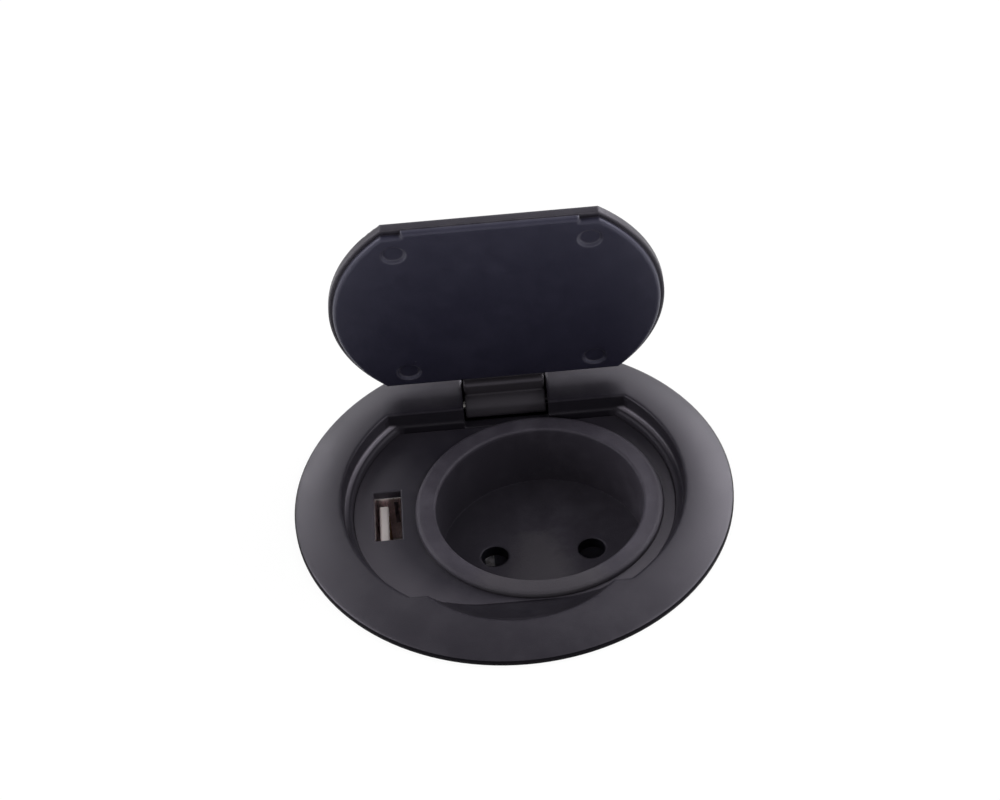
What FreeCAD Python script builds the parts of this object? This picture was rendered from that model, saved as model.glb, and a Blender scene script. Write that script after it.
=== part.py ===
import FreeCAD, Part
import math
import os
import Sketcher
from FreeCAD import Placement, Rotation, Vector

# Round desk socket with a hinged lid: one mains socket and one USB outlet in a truncated round recess.
# Millimetres. The origin is the centre of the flange's underside, which lies on the worktop.
# +Z points up out of the worktop, +Y towards the hinge and +X to the right along the hinge.

os.makedirs("parts", exist_ok=True)
doc = FreeCAD.newDocument("desk_socket")
sheet = doc.addObject("Spreadsheet::Sheet", "Sizes")


class Size:
    """A length that carries its number and its formula in the size sheet."""

    def __init__(self, number, formula):
        self.number = number
        self.formula = formula

    def join(self, other, sign, number):
        formula = other.formula if isinstance(other, Size) else repr(float(other))
        return Size(number, f"({self.formula} {sign} {formula})")

    def __add__(self, other):
        return self.join(other, "+", self.number + value(other))

    def __sub__(self, other):
        return self.join(other, "-", self.number - value(other))

    def __mul__(self, other):
        return self.join(other, "*", self.number * value(other))

    def __truediv__(self, other):
        return self.join(other, "/", self.number / value(other))

    def __neg__(self):
        return Size(-self.number, f"(-{self.formula})")


def value(length):
    return length.number if isinstance(length, Size) else float(length)


def formula_of(length):
    return length.formula if isinstance(length, Size) else repr(float(length))


def size(name, number):
    """Write one driving dimension in the sheet and return it as a Size."""
    row = size.rows = size.rows + 1
    sheet.set(f"A{row}", name)
    sheet.set(f"B{row}", str(number))
    sheet.setAlias(f"B{row}", name)
    return Size(float(number), f"Sizes.{name}")


size.rows = 0

# Flange and recess of the top frame
flange_width = size("flange_width", 7.6)
rim_height = size("rim_height", 0.9)
rim_round = size("rim_round", 0.25)
lip_height = size("lip_height", 2.7)
hinge_cut = size("hinge_cut", 9.8)
front_cut = size("front_cut", 7.1)
recess_taper = size("recess_taper", 9.0)
seat_drop = size("seat_drop", 0.35)
seat_width = size("seat_width", 1.9)
floor_drop = size("floor_drop", 2.0)
plate_step = size("plate_step", 0.9)
hinge_step = size("hinge_step", 0.65)
ledge_round = size("ledge_round", 0.9)
scoop_rise = size("scoop_rise", 1.0)
skirt_radius = size("skirt_radius", 34.4)
skirt_wall = size("skirt_wall", 1.4)
skirt_depth = size("skirt_depth", 8.0)
scoop_centre = size("scoop_centre", 10.9)
scoop_bottom = size("scoop_bottom", 14.3)
scoop_radius = size("scoop_radius", 9.9)
shelf_start = size("shelf_start", 16.9)
shelf_depth = size("shelf_depth", 1.4)
hook_width = size("hook_width", 7.4)
gasket_inset = size("gasket_inset", 2.0)
gasket_width = size("gasket_width", 4.0)
gasket_thickness = size("gasket_thickness", 0.6)

# Lid, hinge and pin
lid_gap = size("lid_gap", 0.7)
shell_thickness = size("shell_thickness", 1.8)
plate_thickness = size("plate_thickness", 1.2)
plate_inset = size("plate_inset", 0.8)
dimple_radius = size("dimple_radius", 2.0)
dimple_depth = size("dimple_depth", 0.5)
dimple_across = size("dimple_across", 18.3)
dimple_front = size("dimple_front", 19.2)
dimple_hinge = size("dimple_hinge", 17.1)
hinge_reach = size("hinge_reach", 5.2)
hinge_drop = size("hinge_drop", 1.3)
pin_radius = size("pin_radius", 0.8)
barrel_radius = size("barrel_radius", 2.6)
arm_radius = size("arm_radius", 3.6)
arm_half_width = size("arm_half_width", 8.0)
block_drop = size("block_drop", 1.6)
slot_gap = size("slot_gap", 0.4)
ear_thickness = size("ear_thickness", 2.6)
ear_wall = size("ear_wall", 0.9)
lid_open = size("lid_open", 79.2)

# Mains socket
socket_right = size("socket_right", 4.85)
socket_front = size("socket_front", 0.7)
well_radius = size("well_radius", 20.0)
well_depth = size("well_depth", 14.1)
well_wall = size("well_wall", 1.8)
well_floor = size("well_floor", 2.5)
collar_radius = size("collar_radius", 23.9)
collar_height = size("collar_height", 1.0)
pin_spacing = size("pin_spacing", 19.0)
pin_hole_radius = size("pin_hole_radius", 2.7)
carrier_height = size("carrier_height", 18.5)
tower_height = size("tower_height", 9.5)
spring_thickness = size("spring_thickness", 0.7)
spring_width = size("spring_width", 6.0)
terminal_width = size("terminal_width", 6.0)
terminal_height = size("terminal_height", 7.0)
screw_radius = size("screw_radius", 1.3)

# USB outlet and its power supply
port_left = size("port_left", 24.4)
port_back = size("port_back", 0.2)
port_length = size("port_length", 13.3)
port_width = size("port_width", 5.7)
port_depth = size("port_depth", 14.0)
port_drop = size("port_drop", 1.85)
port_metal = size("port_metal", 0.3)
tongue_length = size("tongue_length", 11.1)
tongue_thickness = size("tongue_thickness", 1.7)
board_thickness = size("board_thickness", 1.2)
board_length = size("board_length", 23.0)
board_width = size("board_width", 10.4)
post_radius = size("post_radius", 2.4)
board_screw = size("board_screw", 1.05)
board_screw_length = size("board_screw_length", 5.0)
wire_radius = size("wire_radius", 0.8)

# Rear housing and clamp
housing_wall = size("housing_wall", 1.8)
wiring_room = size("wiring_room", 10.4)
cover_thickness = size("cover_thickness", 2.0)
boss_inset = size("boss_inset", 5.6)
boss_radius = size("boss_radius", 3.2)
entry_front = size("entry_front", 15.0)
entry_radius = size("entry_radius", 4.2)
nut_wall = size("nut_wall", 5.75)
nut_height = size("nut_height", 9.0)
washer_thickness = size("washer_thickness", 1.5)
worktop = size("worktop", 18.5)

# Clearances
fit_gap = size("fit_gap", 0.1)
thread_gap = size("thread_gap", 0.35)
pin_play = size("pin_play", 0.05)
pin_press = size("pin_press", 0.02)
doc.recompute()

flange_radius = skirt_radius + flange_width
recess_radius = skirt_radius - skirt_wall - fit_gap
hinge_wall = recess_radius - hinge_cut
front_wall = recess_radius - front_cut
hinge_back = hinge_wall + hinge_reach
lid_radius = recess_radius - lid_gap
lid_front = front_wall - lid_gap
lid_hinge = hinge_wall - plate_step - lid_gap
boss_circle = skirt_radius - boss_inset
gasket_inner = skirt_radius + gasket_inset
gasket_outer = gasket_inner + gasket_width
nut_bore = skirt_radius + thread_gap
nut_radius = nut_bore + nut_wall


def new_body(name):
    body = doc.addObject("PartDesign::Body", name)
    body.Label = name
    return body


def move_to(body, right=0.0, back=0.0, up=0.0):
    """Bind a body's place to the sheet."""
    for axis, length in (("x", right), ("y", back), ("z", up)):
        body.setExpression(f"Placement.Base.{axis}", formula_of(length))
    doc.recompute()


def new_sketch(body, name, plane="XY_Plane", level=0.0):
    """Sketch on one of the body's own planes, lifted off it by level."""
    sketch = body.newObject("Sketcher::SketchObject", f"{body.Name}_{name}")
    support = [item for item in body.Origin.OriginFeatures if item.Role == plane]
    sketch.AttachmentSupport = [(support[0], "")]
    sketch.MapMode = "FlatFace"
    sketch.setExpression("AttachmentOffset.Base.z", formula_of(level))
    sketch.AttachmentOffset = Placement(Vector(0, 0, value(level)), Rotation())
    return sketch


def bind(sketch, kind, references, length, name):
    """Add one dimension to a sketch and tie it to its formula."""
    index = sketch.addConstraint(Sketcher.Constraint(kind, *references, value(length)))
    sketch.renameConstraint(index, name)
    sketch.setExpression(f"Constraints.{name}", formula_of(length))


def fix_point(sketch, geometry, end, across, along, tag):
    """Hold one end of a sketch line at its distances from the sketch's origin."""
    for kind, axis, length in (("DistanceX", -2, across), ("DistanceY", -1, along)):
        if abs(value(length)) < 1e-9:
            sketch.addConstraint(Sketcher.Constraint("PointOnObject", geometry, end, axis))
        elif value(length) > 0:
            bind(sketch, kind, (-1, 1, geometry, end), length, f"{tag}_{kind}")
        else:
            bind(sketch, kind, (geometry, end, -1, 1), -length if isinstance(length, Size)
                 else -float(length), f"{tag}_{kind}")


def polygon(sketch, corners):
    """Closed outline of straight sides; a corner is a pair (across, along)."""
    points = [Vector(value(across), value(along), 0) for across, along in corners]
    first = sketch.GeometryCount
    count = len(points)
    for index in range(count):
        sketch.addGeometry(Part.LineSegment(points[index], points[(index + 1) % count]), False)
    for index in range(count):
        after = first + (index + 1) % count
        sketch.addConstraint(Sketcher.Constraint("Coincident", first + index, 2, after, 1))
    for index, (across, along) in enumerate(corners):
        fix_point(sketch, first + index, 1, across, along, f"corner{first + index}")


def rectangle(sketch, left, right, front, back):
    polygon(sketch, [(left, front), (right, front), (right, back), (left, back)])


def circle(sketch, across, along, radius):
    index = sketch.addGeometry(
        Part.Circle(Vector(value(across), value(along), 0), Vector(0, 0, 1), value(radius)), False)
    bind(sketch, "Radius", (index,), radius, f"round{index}")
    if abs(value(across)) < 1e-9 and abs(value(along)) < 1e-9:
        sketch.addConstraint(Sketcher.Constraint("Coincident", index, 3, -1, 1))
    else:
        fix_point(sketch, index, 3, across, along, f"centre{index}")


def arc_to(sketch, start, end, centre):
    """Arc about a centre, counter-clockwise from start to end, as plain numbers for the first guess."""
    middle = Vector(*centre, 0)
    radius = (Vector(*start, 0) - middle).Length
    angles = [math.atan2(point[1] - centre[1], point[0] - centre[0]) for point in (start, end)]
    round_shape = Part.Circle(middle, Vector(0, 0, 1), radius)
    return sketch.addGeometry(Part.ArcOfCircle(round_shape, angles[0], angles[1]), False)


def hinge_cut_disc(sketch, radius, hinge_side):
    """Disc with one straight side towards the hinge."""
    full, back = value(radius), value(hinge_side)
    wide = math.sqrt(full ** 2 - back ** 2)
    arc = arc_to(sketch, (-wide, back), (wide, back), (0, 0))
    side = sketch.addGeometry(Part.LineSegment(Vector(wide, back, 0), Vector(-wide, back, 0)), False)
    sketch.addConstraint(Sketcher.Constraint("Coincident", arc, 2, side, 1))
    sketch.addConstraint(Sketcher.Constraint("Coincident", side, 2, arc, 1))
    sketch.addConstraint(Sketcher.Constraint("Coincident", arc, 3, -1, 1))
    sketch.addConstraint(Sketcher.Constraint("Horizontal", side))
    bind(sketch, "Radius", (arc,), radius, "outer_round")
    bind(sketch, "DistanceY", (-1, 1, side, 1), hinge_side, "hinge_side")


def truncated_disc(sketch, radius, hinge_side, front_side):
    """Disc with one straight side towards the hinge and one towards the user."""
    full = value(radius)
    back, front = value(hinge_side), value(front_side)
    wide_back = math.sqrt(full ** 2 - back ** 2)
    wide_front = math.sqrt(full ** 2 - front ** 2)
    right = arc_to(sketch, (wide_front, -front), (wide_back, back), (0, 0))
    top = sketch.addGeometry(
        Part.LineSegment(Vector(wide_back, back, 0), Vector(-wide_back, back, 0)), False)
    left = arc_to(sketch, (-wide_back, back), (-wide_front, -front), (0, 0))
    low = sketch.addGeometry(
        Part.LineSegment(Vector(-wide_front, -front, 0), Vector(wide_front, -front, 0)), False)
    for one, two in ((right, top), (top, left), (left, low), (low, right)):
        sketch.addConstraint(Sketcher.Constraint("Coincident", one, 2, two, 1))
    for arc in (right, left):
        sketch.addConstraint(Sketcher.Constraint("Coincident", arc, 3, -1, 1))
    for line in (top, low):
        sketch.addConstraint(Sketcher.Constraint("Horizontal", line))
    bind(sketch, "Radius", (right,), radius, "outer_round")
    bind(sketch, "DistanceY", (-1, 1, top, 1), hinge_side, "hinge_side")
    bind(sketch, "DistanceY", (low, 1, -1, 1), front_side, "front_side")


def pad(body, sketch, length, name="pad", down=False, centred=False):
    feature = body.newObject("PartDesign::Pad", f"{body.Name}_{name}")
    feature.Profile = sketch
    feature.Reversed = down
    if centred:
        feature.SideType = "Symmetric"
    feature.setExpression("Length", formula_of(length))
    doc.recompute()
    return feature


def pocket(body, sketch, depth=None, name="pocket", up=False, centred=False, taper=None):
    """Cut a sketch out of the body, by a depth or, with no depth, right through."""
    before = body.Shape.Volume
    feature = body.newObject("PartDesign::Pocket", f"{body.Name}_{name}")
    feature.Profile = sketch
    feature.Reversed = up
    if centred:
        feature.SideType = "Symmetric"
    if depth is None:
        feature.Type = "ThroughAll"
    else:
        feature.setExpression("Length", formula_of(depth))
    if taper is not None:
        feature.setExpression("TaperAngle", formula_of(taper))
    doc.recompute()
    if before - body.Shape.Volume < 1e-3:
        raise ValueError(f"{feature.Name} cut nothing")
    return feature


def revolve(body, sketch, name="turned"):
    feature = body.newObject("PartDesign::Revolution", f"{body.Name}_{name}")
    feature.Profile = sketch
    feature.ReferenceAxis = (sketch, ["V_Axis"])
    feature.Angle = 360.0
    doc.recompute()
    return feature


def groove(body, sketch, name="groove"):
    """Cut a turned shape about the sketch's upright axis."""
    before = body.Shape.Volume
    feature = body.newObject("PartDesign::Groove", f"{body.Name}_{name}")
    feature.Profile = sketch
    feature.ReferenceAxis = (sketch, ["V_Axis"])
    feature.Angle = 360.0
    doc.recompute()
    if before - body.Shape.Volume < 1e-3:
        raise ValueError(f"{feature.Name} cut nothing")
    return feature


def polar(body, features, count, angle=360.0, name="ring"):
    """Repeat features round the body's upright axis."""
    feature = body.newObject("PartDesign::PolarPattern", f"{body.Name}_{name}")
    feature.Originals = features
    axis = [item for item in body.Origin.OriginFeatures if item.Role == "Z_Axis"][0]
    feature.Axis = (axis, [""])
    feature.Angle = angle
    feature.Occurrences = count
    body.Tip = feature
    doc.recompute()
    return feature


def soften(body, wanted, length, name="round", kind="Fillet"):
    """Round or chamfer the edges of the body that the test picks."""
    base = body.Tip
    edges = [f"Edge{index + 1}" for index, edge in enumerate(base.Shape.Edges) if wanted(edge)]
    if not edges:
        raise ValueError(f"no edge for {body.Name} {name}")
    feature = body.newObject(f"PartDesign::{kind}", f"{body.Name}_{name}")
    feature.Base = (base, edges)
    feature.setExpression("Radius" if kind == "Fillet" else "Size", formula_of(length))
    doc.recompute()
    return feature


def at_height(edge, height):
    """Whether an edge lies level at this height."""
    box = edge.BoundBox
    return abs(box.ZMin - height) < 1e-4 and abs(box.ZMax - height) < 1e-4


def reach(edge):
    """Largest distance of an edge's ends and middle from the upright axis."""
    points = [vertex.Point for vertex in edge.Vertexes]
    points.append(edge.valueAt((edge.FirstParameter + edge.LastParameter) / 2))
    return max(math.hypot(point.x, point.y) for point in points)


# Top frame
def make_top_frame():
    body = new_body("top_frame")
    # Turned blank: domed flange, plug of the recess and skirt that reaches into the worktop.
    sketch = new_sketch(body, "blank", "XZ_Plane")
    outer, lip, rim = value(flange_radius), value(lip_height), value(rim_height)
    crown = value(recess_radius)
    fall = lip - rim
    dome = ((outer - crown) ** 2 + fall ** 2) / (2 * fall)
    lines = [((0, lip), (0, -value(skirt_depth))),
             ((0, -value(skirt_depth)), (value(skirt_radius), -value(skirt_depth))),
             ((value(skirt_radius), -value(skirt_depth)), (value(skirt_radius), 0)),
             ((value(skirt_radius), 0), (outer, 0)),
             ((outer, 0), (outer, rim))]
    for start, end in lines:
        sketch.addGeometry(Part.LineSegment(Vector(*start, 0), Vector(*end, 0)), False)
    arc = arc_to(sketch, (outer, rim), (crown, lip), (crown, lip - dome))
    flat = sketch.addGeometry(Part.LineSegment(Vector(crown, lip, 0), Vector(0, lip, 0)), False)
    order = [0, 1, 2, 3, 4, arc, flat]
    for one, two in zip(order, order[1:] + order[:1]):
        sketch.addConstraint(Sketcher.Constraint("Coincident", one, 2, two, 1))
    fix_point(sketch, 0, 2, 0.0, -skirt_depth, "axis_foot")
    fix_point(sketch, 2, 1, skirt_radius, -skirt_depth, "skirt_foot")
    fix_point(sketch, 3, 1, skirt_radius, 0.0, "skirt_top")
    fix_point(sketch, 4, 1, flange_radius, 0.0, "rim_foot")
    fix_point(sketch, 5, 1, flange_radius, rim_height, "rim_top")
    fix_point(sketch, flat, 1, recess_radius, lip_height, "crown")
    sketch.addConstraint(Sketcher.Constraint("PointOnObject", flat, 2, -2))
    sketch.addConstraint(Sketcher.Constraint("Horizontal", flat))
    bind(sketch, "DistanceX", (-1, 1, arc, 3), recess_radius, "dome_centre")
    revolve(body, sketch)
    # Recess: sloping upper wall down to the lid seat, then the opening for the face plate.
    upper = new_sketch(body, "upper_wall", level=lip_height)
    truncated_disc(upper, recess_radius, hinge_wall, front_wall)
    pocket(body, upper, lip_height + seat_drop, "upper_wall_cut", taper=-recess_taper)
    lower = new_sketch(body, "lower_wall", level=-seat_drop)
    truncated_disc(lower, recess_radius - seat_width, hinge_wall - hinge_step, front_wall - plate_step)
    pocket(body, lower, name="lower_wall_cut")
    round_ledge(body)
    # Hollow underside that takes the face plate's edge and the housing's spigot.
    under = new_sketch(body, "underside", level=-skirt_depth)
    hinge_cut_disc(under, skirt_radius - skirt_wall, hinge_wall - hinge_step / 2)
    pocket(body, under, skirt_depth - floor_drop - plate_step, "underside_cut", up=True)
    # Relief in the hinge wall's foot for the collar of the socket well.
    relief = new_sketch(body, "collar_relief", level=-(floor_drop + plate_step))
    circle(relief, socket_right, -socket_front, collar_radius + fit_gap)
    pocket(body, relief, plate_step + collar_height + fit_gap, "collar_relief_cut", up=True)
    return body


def round_ledge(body):
    """Ease the lid seat's inner edge with sloping cuts along a quarter circle."""
    steps = 3
    for step in range(steps):
        start, end = (math.radians(90 * (step + more) / steps) for more in (0, 1))
        in_by = ledge_round * (1 - math.sin(start))
        down_by = ledge_round * (1 - math.cos(start))
        # Each cut runs a little past its end, into the opening.
        depth = ledge_round * (math.cos(start) - math.cos(end)) + fit_gap
        slope = math.degrees(math.atan2(math.sin(end) - math.sin(start), math.cos(start) - math.cos(end)))
        sketch = new_sketch(body, f"ledge{step}", level=-seat_drop - down_by)
        truncated_disc(sketch, recess_radius - seat_width + in_by, hinge_wall - hinge_step,
                       front_wall - plate_step + in_by / 2)
        pocket(body, sketch, depth, f"ledge{step}_cut", taper=Size(-slope, repr(-slope)))


# Finger scoop in front of the recess
def cut_scoop(body):
    sketch = new_sketch(body, "scoop", "XZ_Plane", level=scoop_centre)
    bottom, radius = value(scoop_bottom), value(scoop_radius)
    low = -value(floor_drop)
    high = value(lip_height + scoop_rise)
    # The wall leaves the floor level and rises along an arc to just above the flange.
    across = bottom + math.sqrt(radius ** 2 - (radius - (high - low)) ** 2)
    corners = [(0, high), (0, low), (bottom, low)]
    for start, end in zip(corners, corners[1:]):
        sketch.addGeometry(Part.LineSegment(Vector(*start, 0), Vector(*end, 0)), False)
    arc = arc_to(sketch, (bottom, low), (across, high), (bottom, low + radius))
    top = sketch.addGeometry(Part.LineSegment(Vector(across, high, 0), Vector(0, high, 0)), False)
    order = [0, 1, arc, top]
    for one, two in zip(order, order[1:] + order[:1]):
        sketch.addConstraint(Sketcher.Constraint("Coincident", one, 2, two, 1))
    fix_point(sketch, 0, 1, 0.0, lip_height + scoop_rise, "axis_head")
    fix_point(sketch, 0, 2, 0.0, -floor_drop, "axis_foot")
    fix_point(sketch, 1, 2, scoop_bottom, -floor_drop, "floor_end")
    sketch.addConstraint(Sketcher.Constraint("Horizontal", top))
    bind(sketch, "DistanceX", (-1, 1, arc, 3), scoop_bottom, "arc_centre")
    bind(sketch, "Radius", (arc,), scoop_radius, "arc_size")
    groove(body, sketch, "scoop_cut")


# Slot for the lid's arm, with an ear on each side for the hinge pin
def cut_hinge_slot(body):
    half = arm_half_width + slot_gap
    back = hinge_back + arm_radius + slot_gap
    deep = hinge_drop + arm_radius + slot_gap * 1.5
    slot = new_sketch(body, "slot", level=lip_height)
    rectangle(slot, -half, half, hinge_wall + skirt_wall, back)
    pocket(body, slot, lip_height + deep, "slot_cut")
    mouth = new_sketch(body, "slot_mouth", level=lip_height)
    rectangle(mouth, -half, half, hinge_wall - plate_step * 1.5, hinge_wall + seat_width)
    pocket(body, mouth, lip_height + floor_drop, "slot_mouth_cut")
    # Hollows beside the ears keep the moulding's walls thin.
    inner = half + ear_thickness
    hollow_back = hinge_back - pin_radius - ear_wall
    hollow_side = inner + arm_half_width
    hollows = new_sketch(body, "ear_hollows", level=-skirt_depth)
    for side in (-1, 1):
        near, far = inner * side, hollow_side * side
        left, right = (far, near) if side < 0 else (near, far)
        rectangle(hollows, left, right, hinge_wall + skirt_wall, hollow_back)
    pocket(body, hollows, skirt_depth + lip_height - skirt_wall * 1.2, "ear_hollow_cut", up=True)
    # The middle between the ears ends above the skirt's foot.
    box = new_sketch(body, "box_foot", level=-skirt_depth)
    rectangle(box, -half, half, hinge_wall - plate_step, back)
    pocket(body, box, skirt_depth - deep - skirt_wall, "box_foot_cut", up=True)
    # The pin goes in from the right, through the skirt.
    bore = new_sketch(body, "pin_bore", "YZ_Plane", level=flange_radius / 2)
    circle(bore, hinge_back, -hinge_drop, pin_radius + pin_press)
    pocket(body, bore, flange_radius / 2 + half + ear_thickness, "pin_bore_cut")


# Seats for the lid's front corners
def add_corner_shelves(body):
    sketch = new_sketch(body, "shelves", level=-floor_drop)
    corner = recess_radius - seat_width * 2
    wide = Size(math.sqrt(value(corner) ** 2 - value(front_wall - shelf_depth) ** 2),
                f"sqrt({corner.formula}^2 - {(front_wall - shelf_depth).formula}^2)") + seat_width
    for side in (-1, 1):
        near, far = shelf_start * side, wide * side
        left, right = (far, near) if side < 0 else (near, far)
        rectangle(sketch, left, right, -(front_wall + plate_step), -(front_wall - shelf_depth))
    pad(body, sketch, floor_drop + lip_height - shell_thickness - fit_gap / 2, "shelf_pads")


# Groove for the gasket and windows for the housing's hooks
def cut_frame_details(body):
    ring = new_sketch(body, "gasket_ring")
    circle(ring, 0.0, 0.0, gasket_outer + fit_gap)
    circle(ring, 0.0, 0.0, gasket_inner - fit_gap)
    pocket(body, ring, gasket_thickness, "gasket_groove", up=True)
    window = new_sketch(body, "window", level=-(skirt_depth - skirt_wall))
    half = hook_width / 2 + fit_gap * 3
    rectangle(window, skirt_radius - skirt_wall * 1.5, skirt_radius + skirt_wall, -half, half)
    first = pocket(body, window, skirt_wall * 1.5, "window_cut", up=True)
    polar(body, [first], 4, -180.0, "windows")


def finish_top_frame(body):
    rim = value(rim_height)
    outer = value(flange_radius)
    soften(body, lambda edge: at_height(edge, rim) and reach(edge) > outer - 0.01, rim_round,
           "rim_chamfer", "Chamfer")


top_frame = make_top_frame()
add_corner_shelves(top_frame)
cut_scoop(top_frame)
cut_hinge_slot(top_frame)
cut_frame_details(top_frame)
finish_top_frame(top_frame)


# Foam ring that seals the flange on the worktop
def make_flange_gasket():
    body = new_body("flange_gasket")
    sketch = new_sketch(body, "ring")
    circle(sketch, 0.0, 0.0, gasket_outer)
    circle(sketch, 0.0, 0.0, gasket_inner)
    pad(body, sketch, gasket_thickness)
    return body


flange_gasket = make_flange_gasket()


# Face plate: floor of the recess, with the openings for the socket well and the USB port
def make_face_plate():
    body = new_body("face_plate")
    opening = recess_radius - seat_width
    plate = new_sketch(body, "plate", level=-floor_drop)
    truncated_disc(plate, opening - fit_gap, hinge_wall - hinge_step - fit_gap,
                   front_wall - plate_step - fit_gap)
    pad(body, plate, plate_step * 2, "plate_pad", down=True)
    edge = new_sketch(body, "edge", level=-(floor_drop + plate_step + fit_gap / 2))
    inner = skirt_radius - skirt_wall - fit_gap * 2
    truncated_disc(edge, inner, hinge_wall - hinge_step / 2 - fit_gap, front_wall + plate_step)
    pad(body, edge, plate_step, "edge_pad", down=True)
    well = new_sketch(body, "well_hole", level=-floor_drop)
    circle(well, socket_right, -socket_front, well_radius + well_wall + fit_gap)
    pocket(body, well, name="well_hole_cut")
    port = new_sketch(body, "port_hole", level=-floor_drop)
    reach_x = port_width / 2 - port_metal + fit_gap
    reach_y = port_length / 2 - port_metal + fit_gap
    rectangle(port, -port_left - reach_x, -port_left + reach_x, port_back - reach_y, port_back + reach_y)
    pocket(body, port, name="port_hole_cut")
    # Posts under the plate carry the supply board.
    posts = new_sketch(body, "posts", level=-(floor_drop + plate_step))
    post_length = port_drop + port_depth + fit_gap / 2 - plate_step
    for side in (-1, 1):
        circle(posts, -board_middle(), port_back + post_reach() * side, post_radius)
    pad(body, posts, post_length, "post_pads", down=True)
    bores = new_sketch(body, "post_bores", level=-(floor_drop + plate_step) - post_length)
    for side in (-1, 1):
        circle(bores, -board_middle(), port_back + post_reach() * side, board_screw + pin_press)
    pocket(body, bores, board_screw_length, "post_bore_cut", up=True)
    floor = value(floor_drop)
    soften(body, lambda edge: at_height(edge, -floor) and on_port(edge), fit_gap * 2,
           "port_bevel", "Chamfer")
    return body


def board_middle():
    """Distance of the board's middle line to the left of the origin."""
    return port_left - slot_gap


def post_reach():
    """Distance of each board post from the port's middle."""
    return board_length / 2 - post_radius


def board_gap():
    """Step between the port shell's foot and the board."""
    return fit_gap


def on_port(edge):
    """Whether an edge bounds the port's opening."""
    box = edge.BoundBox
    left = -value(port_left) - value(port_width)
    right = -value(port_left) + value(port_width)
    return box.XMin > left and box.XMax < right and abs(box.YMin - value(port_back)) < value(port_length)


face_plate = make_face_plate()


# Socket well: collar, round wall and floor with two pin holes
def make_socket_well():
    body = new_body("socket_well")
    rim = collar_height - floor_drop
    floor = rim - well_depth
    outer = well_radius + well_wall
    sketch = new_sketch(body, "section", "XZ_Plane")
    ease = collar_height * 0.3
    round_off = collar_height * 0.8
    polygon(sketch, [(0.0, floor), (well_radius, floor), (well_radius, rim - ease), (well_radius + ease, rim),
                     (collar_radius - round_off, rim), (collar_radius - round_off * 0.3, rim - round_off * 0.3),
                     (collar_radius, rim - round_off), (collar_radius, -floor_drop), (outer, -floor_drop),
                     (outer, floor - well_floor), (0.0, floor - well_floor)])
    revolve(body, sketch)
    pins = new_sketch(body, "pin_holes", level=floor)
    for side in (-1, 1):
        circle(pins, pin_spacing / 2 * side, 0.0, pin_hole_radius)
    pocket(body, pins, name="pin_hole_cut")
    screws = new_sketch(body, "screw_holes", level=floor - well_floor)
    for side in (-1, 1):
        circle(screws, 0.0, carrier_screw_reach() * side, screw_radius + fit_gap / 5)
    pocket(body, screws, well_floor * 0.7, "screw_hole_cut", up=True)
    move_to(body, socket_right, -socket_front)
    return body


def carrier_screw_reach():
    """Distance of each carrier screw from the socket's middle."""
    return terminal_width * 0.7


def well_foot():
    """Level of the underside of the well's floor."""
    return collar_height - floor_drop - well_depth - well_floor


socket_well = make_socket_well()


# Contact carrier: insulating block with a chamber for each contact, open towards the pin holes
def make_contact_carrier():
    body = new_body("contact_carrier")
    head = well_foot() - fit_gap / 2
    block = new_sketch(body, "block", level=head)
    rectangle(block, -carrier_half(), carrier_half(), -terminal_width, terminal_width)
    pad(body, block, carrier_height, "block_pad", down=True)
    chambers = new_sketch(body, "chambers", level=head)
    for turn in (-1, 1):
        middle = pin_spacing / 2 * turn
        rectangle(chambers, middle - contact_reach() - slot_gap, middle + contact_reach() + slot_gap,
                  -spring_width / 2 - slot_gap, spring_width / 2 + slot_gap)
    pocket(body, chambers, carrier_height - skirt_wall, "chamber_cut")
    cut_tail_slots(body, head - carrier_height + skirt_wall, skirt_wall)
    cut_carrier_bores(body, head)
    move_to(body, socket_right, -socket_front)
    return body


# Terminal block under the carrier: a room for each terminal, open downwards for the wire
def make_terminal_block():
    body = new_body("terminal_block")
    head = well_foot() - carrier_height - fit_gap
    height = tower_height - fit_gap / 2
    block = new_sketch(body, "block", level=head)
    rectangle(block, -carrier_half(), carrier_half(), -terminal_width, terminal_width)
    pad(body, block, height, "block_pad", down=True)
    rooms = new_sketch(body, "rooms", level=head - height)
    half = terminal_width / 2 + fit_gap
    for turn in (-1, 1):
        middle = pin_spacing / 2 * turn
        rectangle(rooms, middle - half, middle + half, -half, half)
    pocket(body, rooms, terminal_height + fit_gap * 3, "room_cut", up=True)
    cut_tail_slots(body, head, height - terminal_height)
    # Bores in the front for the screwdriver.
    drivers = new_sketch(body, "driver_bores", "XZ_Plane", level=terminal_width)
    for turn in (-1, 1):
        circle(drivers, pin_spacing / 2 * turn, terminal_screw_level(), screw_radius + slot_gap * 2)
    pocket(body, drivers, terminal_width * 0.7, "driver_bore_cut")
    cut_carrier_bores(body, head)
    move_to(body, socket_right, -socket_front)
    return body


def cut_tail_slots(body, level, depth):
    """Slots for the contacts' tails, cut downwards from a level."""
    slots = new_sketch(body, "tail_slots", level=level)
    for turn in (-1, 1):
        middle = pin_spacing / 2 * turn
        rectangle(slots, middle - tail_half() - fit_gap, middle + tail_half() + fit_gap,
                  -spring_thickness / 2 - fit_gap, spring_thickness / 2 + fit_gap)
    pocket(body, slots, depth, "tail_slot_cut")


def cut_carrier_bores(body, head):
    """Bores between the chambers for the two screws that clamp both blocks to the socket well."""
    bores = new_sketch(body, "screw_bores", level=head)
    for turn in (-1, 1):
        circle(bores, 0.0, carrier_screw_reach() * turn, screw_radius + fit_gap)
    pocket(body, bores, name="screw_bore_cut")


def carrier_half():
    """Half the length of the contact carrier and of the terminal block."""
    return pin_spacing / 2 + contact_reach() + slot_gap + skirt_wall


def contact_reach():
    """Half the outer width of a spring contact at its flared mouth."""
    return pin_hole_radius + spring_thickness * 1.8


def tail_half():
    """Half the width of a contact's tail."""
    return terminal_width / 4


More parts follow.
